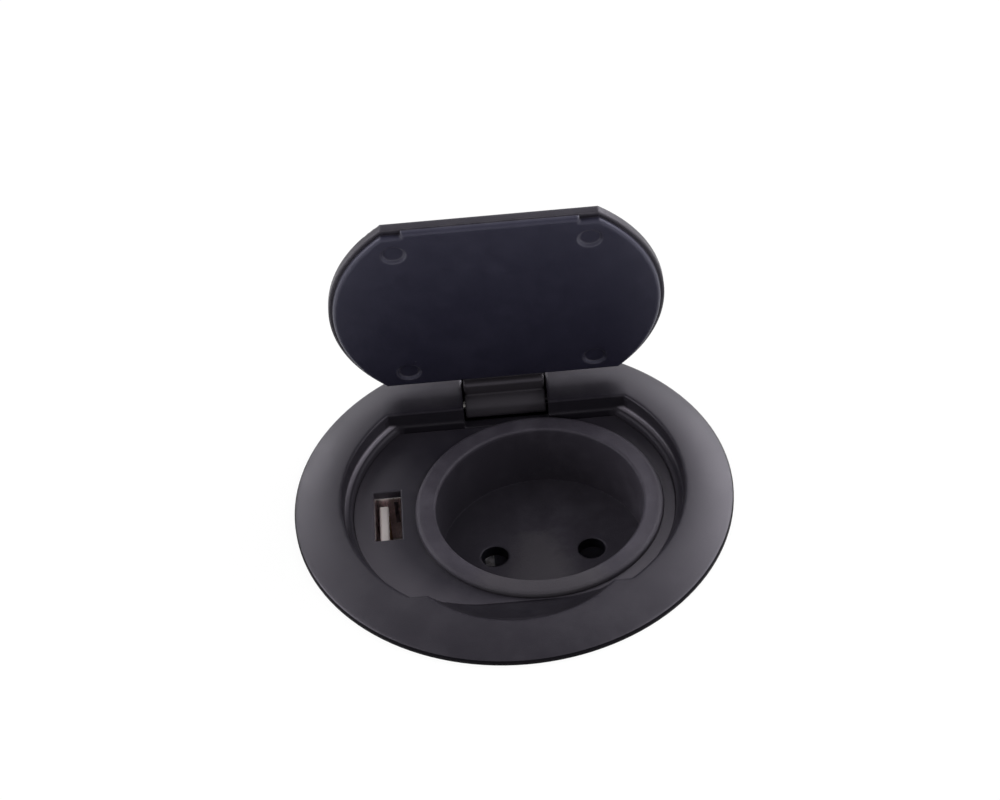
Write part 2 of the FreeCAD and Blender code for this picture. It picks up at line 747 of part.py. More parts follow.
def terminal_screw_level():
    return well_foot() - carrier_height - tower_height + terminal_height / 2


contact_carrier = make_contact_carrier()
terminal_block = make_terminal_block()


# Spring contact: two leaves with a flared mouth, a base and a tail for the terminal
def make_contact(name, turn):
    body = new_body(name)
    head = well_foot() - 0.6
    floor = well_foot() - carrier_height + skirt_wall + fit_gap
    mouth = contact_reach() - spring_thickness
    throat = pin_hole_radius - 0.5
    waist = throat + 0.25
    foot = throat + 0.5
    metal = spring_thickness
    left_inner = [(-mouth, head), (-throat, head - 2.4), (-waist, head - 5.4), (-foot, floor + metal)]
    right_inner = [(foot, floor + metal), (waist, head - 5.4), (throat, head - 2.4), (mouth, head)]
    right_outer = [(mouth + metal, head), (throat + metal, head - 2.4), (waist + metal, head - 5.4),
                   (foot + metal, floor)]
    left_outer = [(-foot - metal, floor), (-waist - metal, head - 5.4), (-throat - metal, head - 2.4),
                  (-mouth - metal, head)]
    sketch = new_sketch(body, "leaves", "XZ_Plane")
    polygon(sketch, left_inner + right_inner + right_outer + left_outer)
    pad(body, sketch, spring_width, "leaf_pad", centred=True)
    tail = new_sketch(body, "tail", level=floor)
    rectangle(tail, -tail_half(), tail_half(), -metal / 2, metal / 2)
    pad(body, tail, tower_height - slot_gap, "tail_pad", down=True)
    move_to(body, socket_right + pin_spacing / 2 * turn, -socket_front)
    return body


live_contact = make_contact("live_contact", -1)
neutral_contact = make_contact("neutral_contact", 1)


# Brass screw terminal under each contact
def make_terminal(name, turn):
    body = new_body(name)
    foot = well_foot() - carrier_height - tower_height + fit_gap * 2
    half = terminal_width / 2
    block = new_sketch(body, "block", level=foot)
    rectangle(block, -half, half, -half, half)
    pad(body, block, terminal_height, "block_pad")
    room = new_sketch(body, "room", level=foot)
    rectangle(room, -half * 0.7, half * 0.7, -spring_thickness / 2 - fit_gap,
              spring_thickness / 2 + wire_radius * 2 + fit_gap * 2)
    pocket(body, room, name="room_cut", up=True)
    thread = new_sketch(body, "thread", "XZ_Plane", level=terminal_width)
    circle(thread, 0.0, terminal_screw_level(), screw_radius + fit_gap)
    pocket(body, thread, terminal_width - spring_thickness / 2, "thread_cut")
    move_to(body, socket_right + pin_spacing / 2 * turn, -socket_front)
    return body


live_terminal = make_terminal("live_terminal", -1)
neutral_terminal = make_terminal("neutral_terminal", 1)


def screw_shape(radius, length, head_radius, head_height, slot):
    """Cheese-head screw along +Z from the origin, its slotted head at the far end."""
    shank = Part.makeCylinder(radius, length)
    head = Part.makeCylinder(head_radius, head_height, Vector(0, 0, length))
    cut = Part.makeBox(head_radius * 2.2, slot, head_height / 2,
                       Vector(-head_radius * 1.1, -slot / 2, length + head_height / 2))
    return shank.fuse(head).cut(cut).removeSplitter()


def place_group(name, shapes):
    """One node of separate like pieces."""
    feature = doc.addObject("Part::Feature", name)
    feature.Label = name
    feature.Shape = Part.Compound(shapes)
    return feature


# Slotted screws that clamp the wires in the terminals
def make_terminal_screws():
    radius = value(screw_radius)
    length = value(terminal_width) / 2 - value(spring_thickness) / 2
    level = value(terminal_screw_level())
    shapes = []
    for turn in (-1, 1):
        shape = screw_shape(radius, length, radius * 1.4, radius, radius * 0.4)
        middle = value(socket_right) + value(pin_spacing) / 2 * turn
        front = -value(socket_front + spring_thickness / 2 + fit_gap / 2)
        shape.Placement = Placement(Vector(middle, front, level), Rotation(Vector(1, 0, 0), 90))
        shapes.append(shape)
    return place_group("terminal_screws", shapes)


terminal_screws = make_terminal_screws()


# Long screws that hold the terminal block and the contact carrier to the socket well
def make_carrier_screws():
    radius = value(screw_radius)
    length = value(carrier_height) + value(tower_height) + value(well_floor) * 0.6
    head_level = value(well_foot()) - value(carrier_height) - value(tower_height) - value(fit_gap)
    shapes = []
    for turn in (-1, 1):
        shape = screw_shape(radius, length, radius * 1.9, radius * 1.2, radius * 0.4)
        back = -value(socket_front) + value(carrier_screw_reach()) * turn
        shape.Placement = Placement(Vector(value(socket_right), back, head_level + length),
                                    Rotation(Vector(1, 0, 0), 180))
        shapes.append(shape)
    return place_group("carrier_screws", shapes)


carrier_screws = make_carrier_screws()


# Folded steel shell of the USB port
def make_usb_shell():
    body = new_body("usb_shell")
    head = -(floor_drop + port_drop)
    outer = new_sketch(body, "outer", level=head)
    rectangle(outer, -port_width / 2, port_width / 2, -port_length / 2, port_length / 2)
    pad(body, outer, port_depth, "outer_pad", down=True)
    inner = new_sketch(body, "inner", level=head)
    wide = port_width / 2 - port_metal
    long = port_length / 2 - port_metal
    rectangle(inner, -wide, wide, -long, long)
    pocket(body, inner, name="inner_cut")
    # Two spring windows in each long side grip the plug.
    window = new_sketch(body, "windows", "YZ_Plane")
    for turn in (-1, 1):
        middle = port_length * 0.22 * turn
        rectangle(window, middle - 1.1, middle + 1.1, head - port_depth * 0.5, head - port_depth * 0.2)
    pocket(body, window, port_width * 2, "window_cut", centred=True)
    move_to(body, -port_left, port_back)
    return body


usb_shell = make_usb_shell()


# Plastic tongue and base of the USB port, moulded in one
def make_usb_insulator():
    body = new_body("usb_insulator")
    foot = -(floor_drop + port_drop + port_depth)
    wide = port_width / 2 - port_metal - fit_gap
    long = port_length / 2 - port_metal - fit_gap
    base = new_sketch(body, "base", level=foot)
    rectangle(base, -wide, wide, -long, long)
    pad(body, base, port_depth * 0.2, "base_pad")
    tongue = new_sketch(body, "tongue", level=foot)
    near = -wide + tongue_gap()
    rectangle(tongue, near, near + tongue_thickness, -tongue_length / 2, tongue_length / 2)
    pad(body, tongue, port_depth - tongue_recess(), "tongue_pad")
    tip = value(foot) + value(port_depth - tongue_recess())
    soften(body, lambda edge: at_height(edge, tip), tongue_thickness / 6, "tip_chamfer", "Chamfer")
    move_to(body, -port_left, port_back)
    return body


def tongue_gap():
    """Space between the shell's left wall and the tongue."""
    return fit_gap * 7.5


def tongue_recess():
    """How far the tongue's tip lies below the shell's mouth."""
    return port_drop * 0.6


usb_insulator = make_usb_insulator()


# Four contact strips on the face of the tongue
def make_usb_contacts():
    strip_thickness = value(port_metal) / 2
    strip_width = value(tongue_length) * 0.09
    spacing = value(tongue_length) * 0.2
    face = -value(port_left) - value(port_width) / 2 + value(port_metal) + value(fit_gap)
    face += value(tongue_gap()) + value(tongue_thickness)
    foot = -value(floor_drop + port_drop + port_depth) + value(port_depth) * 0.2
    height = value(port_depth) * 0.8 - value(tongue_recess()) - 1.2
    strips = []
    for place in (-1.5, -0.5, 0.5, 1.5):
        middle = value(port_back) + place * spacing
        corner = Vector(face, middle - strip_width / 2, foot)
        strips.append(Part.makeBox(strip_thickness, strip_width, height, corner))
    return place_group("usb_contacts", strips)


usb_contacts = make_usb_contacts()


# Supply board under the port
def board_top():
    return -(floor_drop + port_drop + port_depth + board_gap())


def make_usb_board():
    body = new_body("usb_board")
    sketch = new_sketch(body, "board", level=board_top())
    middle = -board_middle()
    rectangle(sketch, middle - board_width / 2, middle + board_width / 2,
              port_back - board_length / 2, port_back + board_length / 2)
    pad(body, sketch, board_thickness, "board_pad", down=True)
    holes = new_sketch(body, "holes", level=board_top())
    for turn in (-1, 1):
        circle(holes, middle, port_back + post_reach() * turn, board_screw + fit_gap)
    pocket(body, holes, name="hole_cut")
    edge_height = value(board_thickness)
    soften(body, lambda edge: abs(edge.BoundBox.ZLength - edge_height) < 1e-3
           and edge.Curve.TypeId == "Part::GeomLine", board_thickness, "corner_round")
    return body


usb_board = make_usb_board()


# Small transformer of the power supply: ferrite core round a wound bobbin
def make_usb_transformer():
    foot = value(board_top() - board_thickness)
    width = value(board_width) * 0.8
    height = width * 1.08
    length = width * 1.02
    end_length = width * 0.29
    left = -value(board_middle()) - width / 2
    front = value(port_back) - width * 0.31
    core = Part.makeBox(width, end_length, height, Vector(left, front, foot - height))
    far_end = Vector(left, front + length - end_length, foot - height)
    core = core.fuse(Part.makeBox(width, end_length, height, far_end))
    middle = Vector(left + width / 2, front, foot - height / 2)
    bobbin = Part.makeCylinder(width * 0.43, length, middle, Vector(0, 1, 0))
    return place_group("usb_transformer", [core.fuse(bobbin).removeSplitter()])


usb_transformer = make_usb_transformer()


# Smoothing capacitors: round cans with a grooved rim
def make_usb_capacitors():
    foot = value(board_top() - board_thickness)
    radius = value(board_width) * 0.2
    height = radius * 3.8
    bead = radius * 0.15
    section = [(0, 0), (radius, 0), (radius, height - bead * 5), (radius - bead, height - bead * 4),
               (radius, height - bead * 3), (radius, height), (0, height), (0, 0)]
    cans = []
    for place in (-1, 1):
        outline = Part.makePolygon([Vector(across, 0, up) for across, up in section])
        can = Part.Face(outline).revolve(Vector(0, 0, 0), Vector(0, 0, 1), 360)
        middle = -value(board_middle()) + place * radius * 1.15
        can.Placement = Placement(Vector(middle, value(port_back) - radius * 2.5, foot - height), Rotation())
        cans.append(can)
    return place_group("usb_capacitors", cans)


usb_capacitors = make_usb_capacitors()


# Charging controller, soldered flat under the board
def make_usb_controller():
    foot = value(board_top() - board_thickness)
    width = value(board_width) * 0.15
    length = width * 1.8
    height = width * 0.75
    side = -value(board_middle() + board_width / 2) + width / 3
    corner = Vector(side, value(port_back) + value(board_length) / 3, foot - height)
    package = Part.makeBox(width, length, height, corner)
    return place_group("usb_controller", [package])


usb_controller = make_usb_controller()


# Screws that hold the board to its posts
def make_board_screws():
    radius = value(board_screw)
    length = value(board_screw_length)
    shapes = []
    for turn in (-1, 1):
        shape = screw_shape(radius, length, radius * 1.8, radius * 1.1, radius * 0.4)
        spot = Vector(-value(board_middle()), value(port_back) + value(post_reach()) * turn,
                      value(board_top() - board_thickness) + length)
        shape.Placement = Placement(spot, Rotation(Vector(1, 0, 0), 180))
        shapes.append(shape)
    return place_group("board_screws", shapes)


board_screws = make_board_screws()

# Rear housing: round can below the worktop, closed by a screwed cover
housing_inner = skirt_radius - housing_wall
housing_depth = carrier_height + tower_height + wiring_room - well_foot()


def make_rear_housing():
    body = new_body("rear_housing")
    sketch = new_sketch(body, "section", "XZ_Plane")
    spigot = skirt_radius - skirt_wall - fit_gap
    spigot_top = -(floor_drop + plate_step * 2 + fit_gap)
    polygon(sketch, [(housing_inner, -housing_depth), (skirt_radius, -housing_depth),
                     (skirt_radius, -skirt_depth), (spigot, -skirt_depth), (spigot, spigot_top),
                     (spigot - skirt_wall, spigot_top), (spigot - skirt_wall, -skirt_depth - housing_wall),
                     (housing_inner, -skirt_depth - housing_wall * 2)])
    revolve(body, sketch)
    # The spigot leaves room for the hinge box.
    gap = new_sketch(body, "hinge_gap", level=spigot_top)
    rectangle(gap, -flange_radius, flange_radius, hinge_wall - plate_step * 1.5, flange_radius)
    pocket(body, gap, skirt_depth + spigot_top, "hinge_gap_cut")
    # Snap hooks in the frame's windows.
    hook = new_sketch(body, "hook", "XZ_Plane")
    low = -(skirt_depth - skirt_wall) + fit_gap
    polygon(hook, [(spigot - skirt_wall / 2, low), (spigot + skirt_wall * 0.7, low),
                   (spigot + skirt_wall * 0.2, low + skirt_wall), (spigot - skirt_wall / 2, low + skirt_wall)])
    first = pad(body, hook, hook_width, "hook_pad", centred=True)
    polar(body, [first], 4, -180.0, "hooks")
    # Bosses for the cover screws, standing against the wall.
    bosses = new_sketch(body, "boss", level=-housing_depth)
    circle(bosses, 0.0, boss_circle, boss_radius)
    boss = pad(body, bosses, housing_depth * 0.25, "boss_pad")
    web = new_sketch(body, "web", level=-housing_depth)
    rectangle(web, -boss_radius / 2, boss_radius / 2, boss_circle, housing_inner + housing_wall / 2)
    rib = pad(body, web, housing_depth * 0.25, "web_pad")
    polar(body, [boss, rib], 3, 360.0, "bosses")
    holes = new_sketch(body, "boss_hole", level=-housing_depth)
    circle(holes, 0.0, boss_circle, screw_radius + fit_gap / 5)
    bored = pocket(body, holes, housing_depth * 0.2, "boss_hole_cut", up=True)
    polar(body, [bored], 3, 360.0, "boss_holes")
    return body


rear_housing = make_rear_housing()


# Rear cover with the cable entry
def make_rear_cover():
    body = new_body("rear_cover")
    disc = new_sketch(body, "disc", level=-housing_depth)
    circle(disc, 0.0, 0.0, skirt_radius)
    pad(body, disc, cover_thickness, "disc_pad", down=True)
    lip = new_sketch(body, "lip", level=-housing_depth)
    circle(lip, 0.0, 0.0, boss_circle - boss_radius - fit_gap * 3)
    circle(lip, 0.0, 0.0, boss_circle - boss_radius - fit_gap * 3 - housing_wall)
    pad(body, lip, cover_thickness, "lip_pad")
    entry = new_sketch(body, "entry", level=-(housing_depth + cover_thickness))
    circle(entry, 0.0, -entry_front, entry_radius + cover_thickness)
    pocket(body, entry, name="entry_cut", up=True)
    holes = new_sketch(body, "screw_hole", level=-(housing_depth + cover_thickness))
    circle(holes, 0.0, boss_circle, screw_radius + fit_gap * 2)
    first = pocket(body, holes, cover_thickness, "screw_hole_cut", up=True)
    sinks = new_sketch(body, "screw_sink", level=-(housing_depth + cover_thickness))
    circle(sinks, 0.0, boss_circle, screw_radius * 2)
    second = pocket(body, sinks, cover_thickness / 2, "screw_sink_cut", up=True)
    polar(body, [first, second], 3, 360.0, "screw_holes")
    low = -value(housing_depth + cover_thickness)
    outer = value(skirt_radius)
    soften(body, lambda edge: at_height(edge, low) and reach(edge) > outer - 0.01,
           cover_thickness / 4, "edge_chamfer", "Chamfer")
    return body


rear_cover = make_rear_cover()


# Screws that hold the rear cover
def make_cover_screws():
    radius = value(screw_radius)
    shapes = []
    length = value(housing_depth) * 0.18
    head = value(cover_thickness) / 2
    for index in range(3):
        angle = math.radians(90 + 120 * index)
        shape = screw_shape(radius, length, radius * 1.9, head, radius * 0.4)
        spot = Vector(value(boss_circle) * math.cos(angle), value(boss_circle) * math.sin(angle),
                      -value(housing_depth) - value(cover_thickness) / 2 + length)
        shape.Placement = Placement(spot, Rotation(Vector(1, 0, 0), 180))
        shapes.append(shape)
    return place_group("cover_screws", shapes)


cover_screws = make_cover_screws()


# Rubber grommet in the cable entry
def make_entry_grommet():
    body = new_body("entry_grommet")
    outer = entry_radius + cover_thickness
    low = -(housing_depth + cover_thickness)
    sketch = new_sketch(body, "section", "XZ_Plane")
    lip = cover_thickness * 0.6
    polygon(sketch, [(entry_radius, low - lip), (outer + lip, low - lip), (outer + lip, low - fit_gap / 2),
                     (outer - fit_gap / 2, low - fit_gap / 2), (outer - fit_gap / 2, -housing_depth + fit_gap / 2),
                     (outer + lip * 0.7, -housing_depth + fit_gap / 2), (outer, -housing_depth + lip),
                     (entry_radius, -housing_depth + lip)])
    revolve(body, sketch)
    move_to(body, 0.0, -entry_front)
    return body


entry_grommet = make_entry_grommet()


# Pressure washer and ring nut that clamp the worktop against the flange
def make_clamp_washer():
    body = new_body("clamp_washer")
    sketch = new_sketch(body, "ring", level=-worktop)
    circle(sketch, 0.0, 0.0, nut_radius + fit_gap * 5)
    circle(sketch, 0.0, 0.0, nut_bore)
    pad(body, sketch, washer_thickness, down=True)
    return body


clamp_washer = make_clamp_washer()


def make_clamp_nut():
    body = new_body("clamp_nut")
    head = -(worktop + washer_thickness + fit_gap / 2)
    foot = head - nut_height
    waist = nut_radius - nut_wall / 4
    sketch = new_sketch(body, "section", "XZ_Plane")
    polygon(sketch, [(nut_bore, head), (nut_radius, head), (nut_radius, head - nut_height * 0.3),
                     (waist, head - nut_height * 0.4), (waist, foot), (nut_bore, foot)])
    revolve(body, sketch)
    grip = new_sketch(body, "grip", level=foot)
    circle(grip, 0.0, nut_radius + nut_wall * 0.28, nut_wall * 0.73)
    first = pocket(body, grip, nut_height * 0.6, "grip_cut", up=True)
    polar(body, [first], 12, 360.0, "grips")
    return body


clamp_nut = make_clamp_nut()


# Insulated wires from the terminals to the supply board
def wire_shape(points, radius):
    """Round wire along straight runs joined by tangent arcs as large as the runs allow."""
    edges = []
    start = points[0]
    for before, corner, after in zip(points, points[1:], points[2:]):
        inward = (before - corner).normalize()
        onward = (after - corner).normalize()
        half = (math.pi - inward.getAngle(onward)) / 2
        shorter = min((before - corner).Length, (after - corner).Length)
        setback = 0.45 * shorter
        bend = setback / math.tan(half)
        entry = corner + inward * setback
        leave = corner + onward * setback
        bisector = (inward + onward).normalize()
        middle = corner + bisector * (bend / math.cos(half) - bend)
        edges.append(Part.LineSegment(start, entry).toShape())
        edges.append(Part.Arc(entry, middle, leave).toShape())
        start = leave
    edges.append(Part.LineSegment(start, points[-1]).toShape())
    path = Part.Wire(edges)
    direction = (points[1] - points[0]).normalize()
    ring = Part.Wire([Part.Circle(points[0], direction, radius).toShape()])
    return path.makePipeShell([ring], True, False)


def make_wire(name, turn):
    """Wire out of a terminal's foot, round below the carrier and up to the board."""
    below = value(well_foot() - carrier_height - tower_height)
    start_x = value(socket_right) + value(pin_spacing) / 2 * turn
    front = -value(socket_front) + value(spring_thickness) / 2 + value(wire_radius) + value(fit_gap)
    board = value(board_top() - board_thickness)
    thick = value(wire_radius) * 2
    lane = value(port_back) - value(board_length) * 0.41 - thick * 0.62 * turn
    edge = -value(board_middle()) + value(board_width) / 2 - thick * 0.9
    low = below - value(wiring_room) * (0.45 + 0.12 * turn)
    points = [Vector(start_x, front, below + value(terminal_height) * 0.6), Vector(start_x, front, low),
              Vector(edge + thick * 1.6, lane - thick * 0.6, low + thick * 0.4),
              Vector(edge, lane, board - thick * 3.7), Vector(edge, lane, board - value(fit_gap) / 2)]
    feature = doc.addObject("Part::Feature", name)
    feature.Label = name
    feature.Shape = wire_shape(points, value(wire_radius))
    return feature


live_wire = make_wire("live_wire", -1)
neutral_wire = make_wire("neutral_wire", 1)


# Lid, modelled shut and then turned open about the hinge pin
def open_lid(body):
    """Turn a body that is modelled shut to the lid's resting angle."""
    body.Placement = Placement(Vector(0, 0, 0), Rotation(Vector(1, 0, 0), -10))
    angle = f"({lid_open.formula} * 1 deg)"
    back, drop = hinge_back.formula, (-hinge_drop).formula
    body.setExpression("Placement.Rotation.Angle", f"-{lid_open.formula}")
    body.setExpression("Placement.Base.y", f"{back} - {back} * cos({angle}) - {drop} * sin({angle})")
    body.setExpression("Placement.Base.z", f"{drop} + {back} * sin({angle}) - {drop} * cos({angle})")
    doc.recompute()


rim_level = lip_height - shell_thickness


def make_lid_shell():
    body = new_body("lid_shell")
    disc = new_sketch(body, "disc", level=rim_level)
    truncated_disc(disc, lid_radius, lid_hinge, lid_front)
    pad(body, disc, shell_thickness, "disc_pad")
    top = value(lip_height)
    soften(body, lambda edge: at_height(edge, top), shell_thickness / 4, "top_round")
    # Arm from the lid to the hinge, between the ears.
    arm = new_sketch(body, "arm", "YZ_Plane")
    arm_top = arm_radius - hinge_drop
    root = lid_hinge - shell_thickness
    # Behind the inner plate's edge the arm steps down to a thicker block, which meets the barrel.
    block = lid_hinge + plate_thickness
    flat = rim_level - block_drop
    polygon(arm, [(root, rim_level), (block, rim_level), (block, flat), (hinge_back, flat),
                  (hinge_back, arm_top), (root, arm_top)])
    pad(body, arm, arm_half_width * 2, "arm_pad", centred=True)
    low = value(flat)
    soften(body, lambda edge: at_height(edge, low), slot_gap, "block_chamfer", "Chamfer")
    back = new_sketch(body, "back_round", "YZ_Plane")
    circle(back, hinge_back, -hinge_drop, barrel_radius)
    pad(body, back, arm_half_width * 2, "barrel_pad", centred=True)
    quarter = new_sketch(body, "quarter", "YZ_Plane")
    corner = (value(hinge_back), -value(hinge_drop))
    radius = value(arm_radius)
    quarter.addGeometry(Part.LineSegment(Vector(*corner, 0), Vector(corner[0] + radius, corner[1], 0)), False)
    arc_to(quarter, (corner[0] + radius, corner[1]), (corner[0], corner[1] + radius), corner)
    quarter.addGeometry(Part.LineSegment(Vector(corner[0], corner[1] + radius, 0), Vector(*corner, 0)), False)
    for one, two in ((0, 1), (1, 2), (2, 0)):
        quarter.addConstraint(Sketcher.Constraint("Coincident", one, 2, two, 1))
    quarter.addConstraint(Sketcher.Constraint("Coincident", 1, 3, 0, 1))
    quarter.addConstraint(Sketcher.Constraint("Horizontal", 0))
    quarter.addConstraint(Sketcher.Constraint("Vertical", 2))
    fix_point(quarter, 0, 1, hinge_back, -hinge_drop, "pivot")
    bind(quarter, "Radius", (1,), arm_radius, "sweep")
    pad(body, quarter, arm_half_width * 2, "quarter_pad", centred=True)
    bore = new_sketch(body, "bore", "YZ_Plane")
    circle(bore, hinge_back, -hinge_drop, pin_radius + pin_play)
    pocket(body, bore, arm_half_width * 3, "bore_cut", centred=True)
    open_lid(body)
    return body


lid_shell = make_lid_shell()


def make_lid_inner_plate():
    body = new_body("lid_inner_plate")
    disc = new_sketch(body, "disc", level=rim_level)
    truncated_disc(disc, lid_radius - plate_inset, lid_hinge - fit_gap, lid_front - fit_gap)
    pad(body, disc, plate_thickness, "disc_pad", down=True)
    # Notches over the corner shelves.
    notches = new_sketch(body, "notches", level=rim_level)
    for side in (-1, 1):
        near, far = (shelf_start - slot_gap) * side, lid_radius * side
        left, right = (far, near) if side < 0 else (near, far)
        rectangle(notches, left, right, -(lid_front + plate_step), -(front_wall - shelf_depth - slot_gap))
    pocket(body, notches, name="notch_cut")
    low = value(rim_level - plate_thickness)
    soften(body, lambda edge: at_height(edge, low), plate_thickness / 2, "edge_round")
    dimples = new_sketch(body, "dimples", level=rim_level - plate_thickness)
    for side in (-1, 1):
        circle(dimples, dimple_across * side, -dimple_front, dimple_radius)
        circle(dimples, dimple_across * side, dimple_hinge, dimple_radius)
    pocket(body, dimples, dimple_depth, "dimple_cut", up=True)
    soften(body, lambda edge: at_height(edge, low) and is_dimple(edge), dimple_depth * 0.8,
           "dimple_bevel", "Chamfer")
    open_lid(body)
    return body


def is_dimple(edge):
    """Whether an edge is the mouth of one of the round recesses."""
    curve = edge.Curve
    return curve.TypeId == "Part::GeomCircle" and abs(curve.Radius - value(dimple_radius)) < 1e-3


lid_inner_plate = make_lid_inner_plate()


# Steel hinge pin through the lid's barrel and both ears
def make_hinge_pin():
    body = new_body("hinge_pin")
    sketch = new_sketch(body, "pin", "YZ_Plane")
    circle(sketch, hinge_back, -hinge_drop, pin_radius)
    pad(body, sketch, (arm_half_width + slot_gap + ear_thickness) * 2, centred=True)
    return body


hinge_pin = make_hinge_pin()

pieces = [top_frame, flange_gasket, face_plate, socket_well, contact_carrier, terminal_block,
          live_contact, neutral_contact, live_terminal, neutral_terminal, terminal_screws, carrier_screws,
          usb_shell, usb_insulator, usb_contacts, usb_board, usb_transformer, usb_capacitors,
          usb_controller, board_screws, live_wire, neutral_wire, rear_housing, rear_cover,
          cover_screws, entry_grommet, clamp_washer, clamp_nut, lid_shell, lid_inner_plate, hinge_pin]

# Every object has to be sound before anything is written.
doc.recompute()
for item in doc.Objects:
    if "Invalid" in item.State or "Error" in item.State:
        raise ValueError(f"{item.Label} failed: {item.State}")
for piece in pieces:
    if piece.Shape.isNull() or not piece.Shape.isValid():
        raise ValueError(f"{piece.Label} has no valid shape")
for piece in pieces:
    piece.Shape.exportStep(f"parts/{piece.Label}.step")
    print(piece.Label, len(piece.Shape.Solids), round(piece.Shape.Volume, 1))
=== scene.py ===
import math

import bpy
from mathutils import Matrix, Vector


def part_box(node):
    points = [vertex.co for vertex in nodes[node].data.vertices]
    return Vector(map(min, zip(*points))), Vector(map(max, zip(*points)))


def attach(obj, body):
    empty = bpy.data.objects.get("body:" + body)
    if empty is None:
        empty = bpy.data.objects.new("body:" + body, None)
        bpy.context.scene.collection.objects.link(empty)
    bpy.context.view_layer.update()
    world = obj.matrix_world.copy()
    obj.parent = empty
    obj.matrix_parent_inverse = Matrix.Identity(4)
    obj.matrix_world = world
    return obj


# Round desk socket with a hinged lid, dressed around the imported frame. Metres, +Z up, hinge towards +Y.

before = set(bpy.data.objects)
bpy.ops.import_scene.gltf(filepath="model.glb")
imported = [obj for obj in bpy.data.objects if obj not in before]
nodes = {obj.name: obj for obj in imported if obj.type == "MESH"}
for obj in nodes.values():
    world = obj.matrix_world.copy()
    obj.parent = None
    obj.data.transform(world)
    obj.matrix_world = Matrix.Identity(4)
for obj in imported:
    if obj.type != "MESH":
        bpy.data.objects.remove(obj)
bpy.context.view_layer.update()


# Top frame
# Round flange, recess and finger scoop in one piece of black nylon, injection moulded. The mould's
# spark-eroded finish leaves a fine grain, and the frame hangs in the worktop's hole by its flange.

def new_group(name, inputs, outputs):
    """Empty shader group with its sockets; returns the group, its input and its output."""
    group = bpy.data.node_groups.new(name, "ShaderNodeTree")
    for label, kind, default in inputs:
        socket = group.interface.new_socket(label, in_out="INPUT", socket_type=kind)
        socket.default_value = default
    for label, kind in outputs:
        group.interface.new_socket(label, in_out="OUTPUT", socket_type=kind)
    return group, group.nodes.new("NodeGroupInput"), group.nodes.new("NodeGroupOutput")


def object_coords(tree):
    """The surface's place on the piece, in metres."""
    return tree.nodes.new("ShaderNodeTexCoord").outputs["Object"]


def noise(tree, coords, per_metre, detail=2.0, rough=0.5):
    """Cloudy values from 0 to 1, with so many clouds to the metre."""
    node = tree.nodes.new("ShaderNodeTexNoise")
    node.inputs["Scale"].default_value = per_metre
    node.inputs["Detail"].default_value = detail
    node.inputs["Roughness"].default_value = rough
    tree.links.new(coords, node.inputs["Vector"])
    return node.outputs["Fac"]


def remap(tree, source, low, high, to_low=0.0, to_high=1.0):
    """Stretch a value between two limits and hold it there beyond them."""
    node = tree.nodes.new("ShaderNodeMapRange")
    limits = (("From Min", low), ("From Max", high), ("To Min", to_low), ("To Max", to_high))
    for label, number in limits:
        node.inputs[label].default_value = number
    tree.links.new(source, node.inputs["Value"])
    return node.outputs["Result"]


def combine(tree, operation, first, second):
    """Work out one value from two; the second may be a number."""
    node = tree.nodes.new("ShaderNodeMath")
    node.operation = operation
    tree.links.new(first, node.inputs[0])
    if isinstance(second, (int, float)):
        node.inputs[1].default_value = second
    else:
        tree.links.new(second, node.inputs[1])
    return node.outputs["Value"]


def product(tree, first, *others):
    """Multiply values; with masks, it is one only where all of them are."""
    for other in others:
        first = combine(tree, "MULTIPLY", first, other)
    return first


def blend_colours(tree, mask, first, second):
    """Mix two colours by a mask; a colour is a socket or three numbers."""
    node = tree.nodes.new("ShaderNodeMix")
    node.data_type = "RGBA"
    tree.links.new(mask, node.inputs["Factor"])
    for label, colour in (("A", first), ("B", second)):
        if isinstance(colour, tuple):
            node.inputs[label].default_value = (*colour, 1.0)
        else:
            tree.links.new(colour, node.inputs[label])
    return node.outputs["Result"]


FINISH_OUTPUTS = [("Color", "NodeSocketColor"), ("Roughness", "NodeSocketFloat"),
                  ("Normal", "NodeSocketVector")]


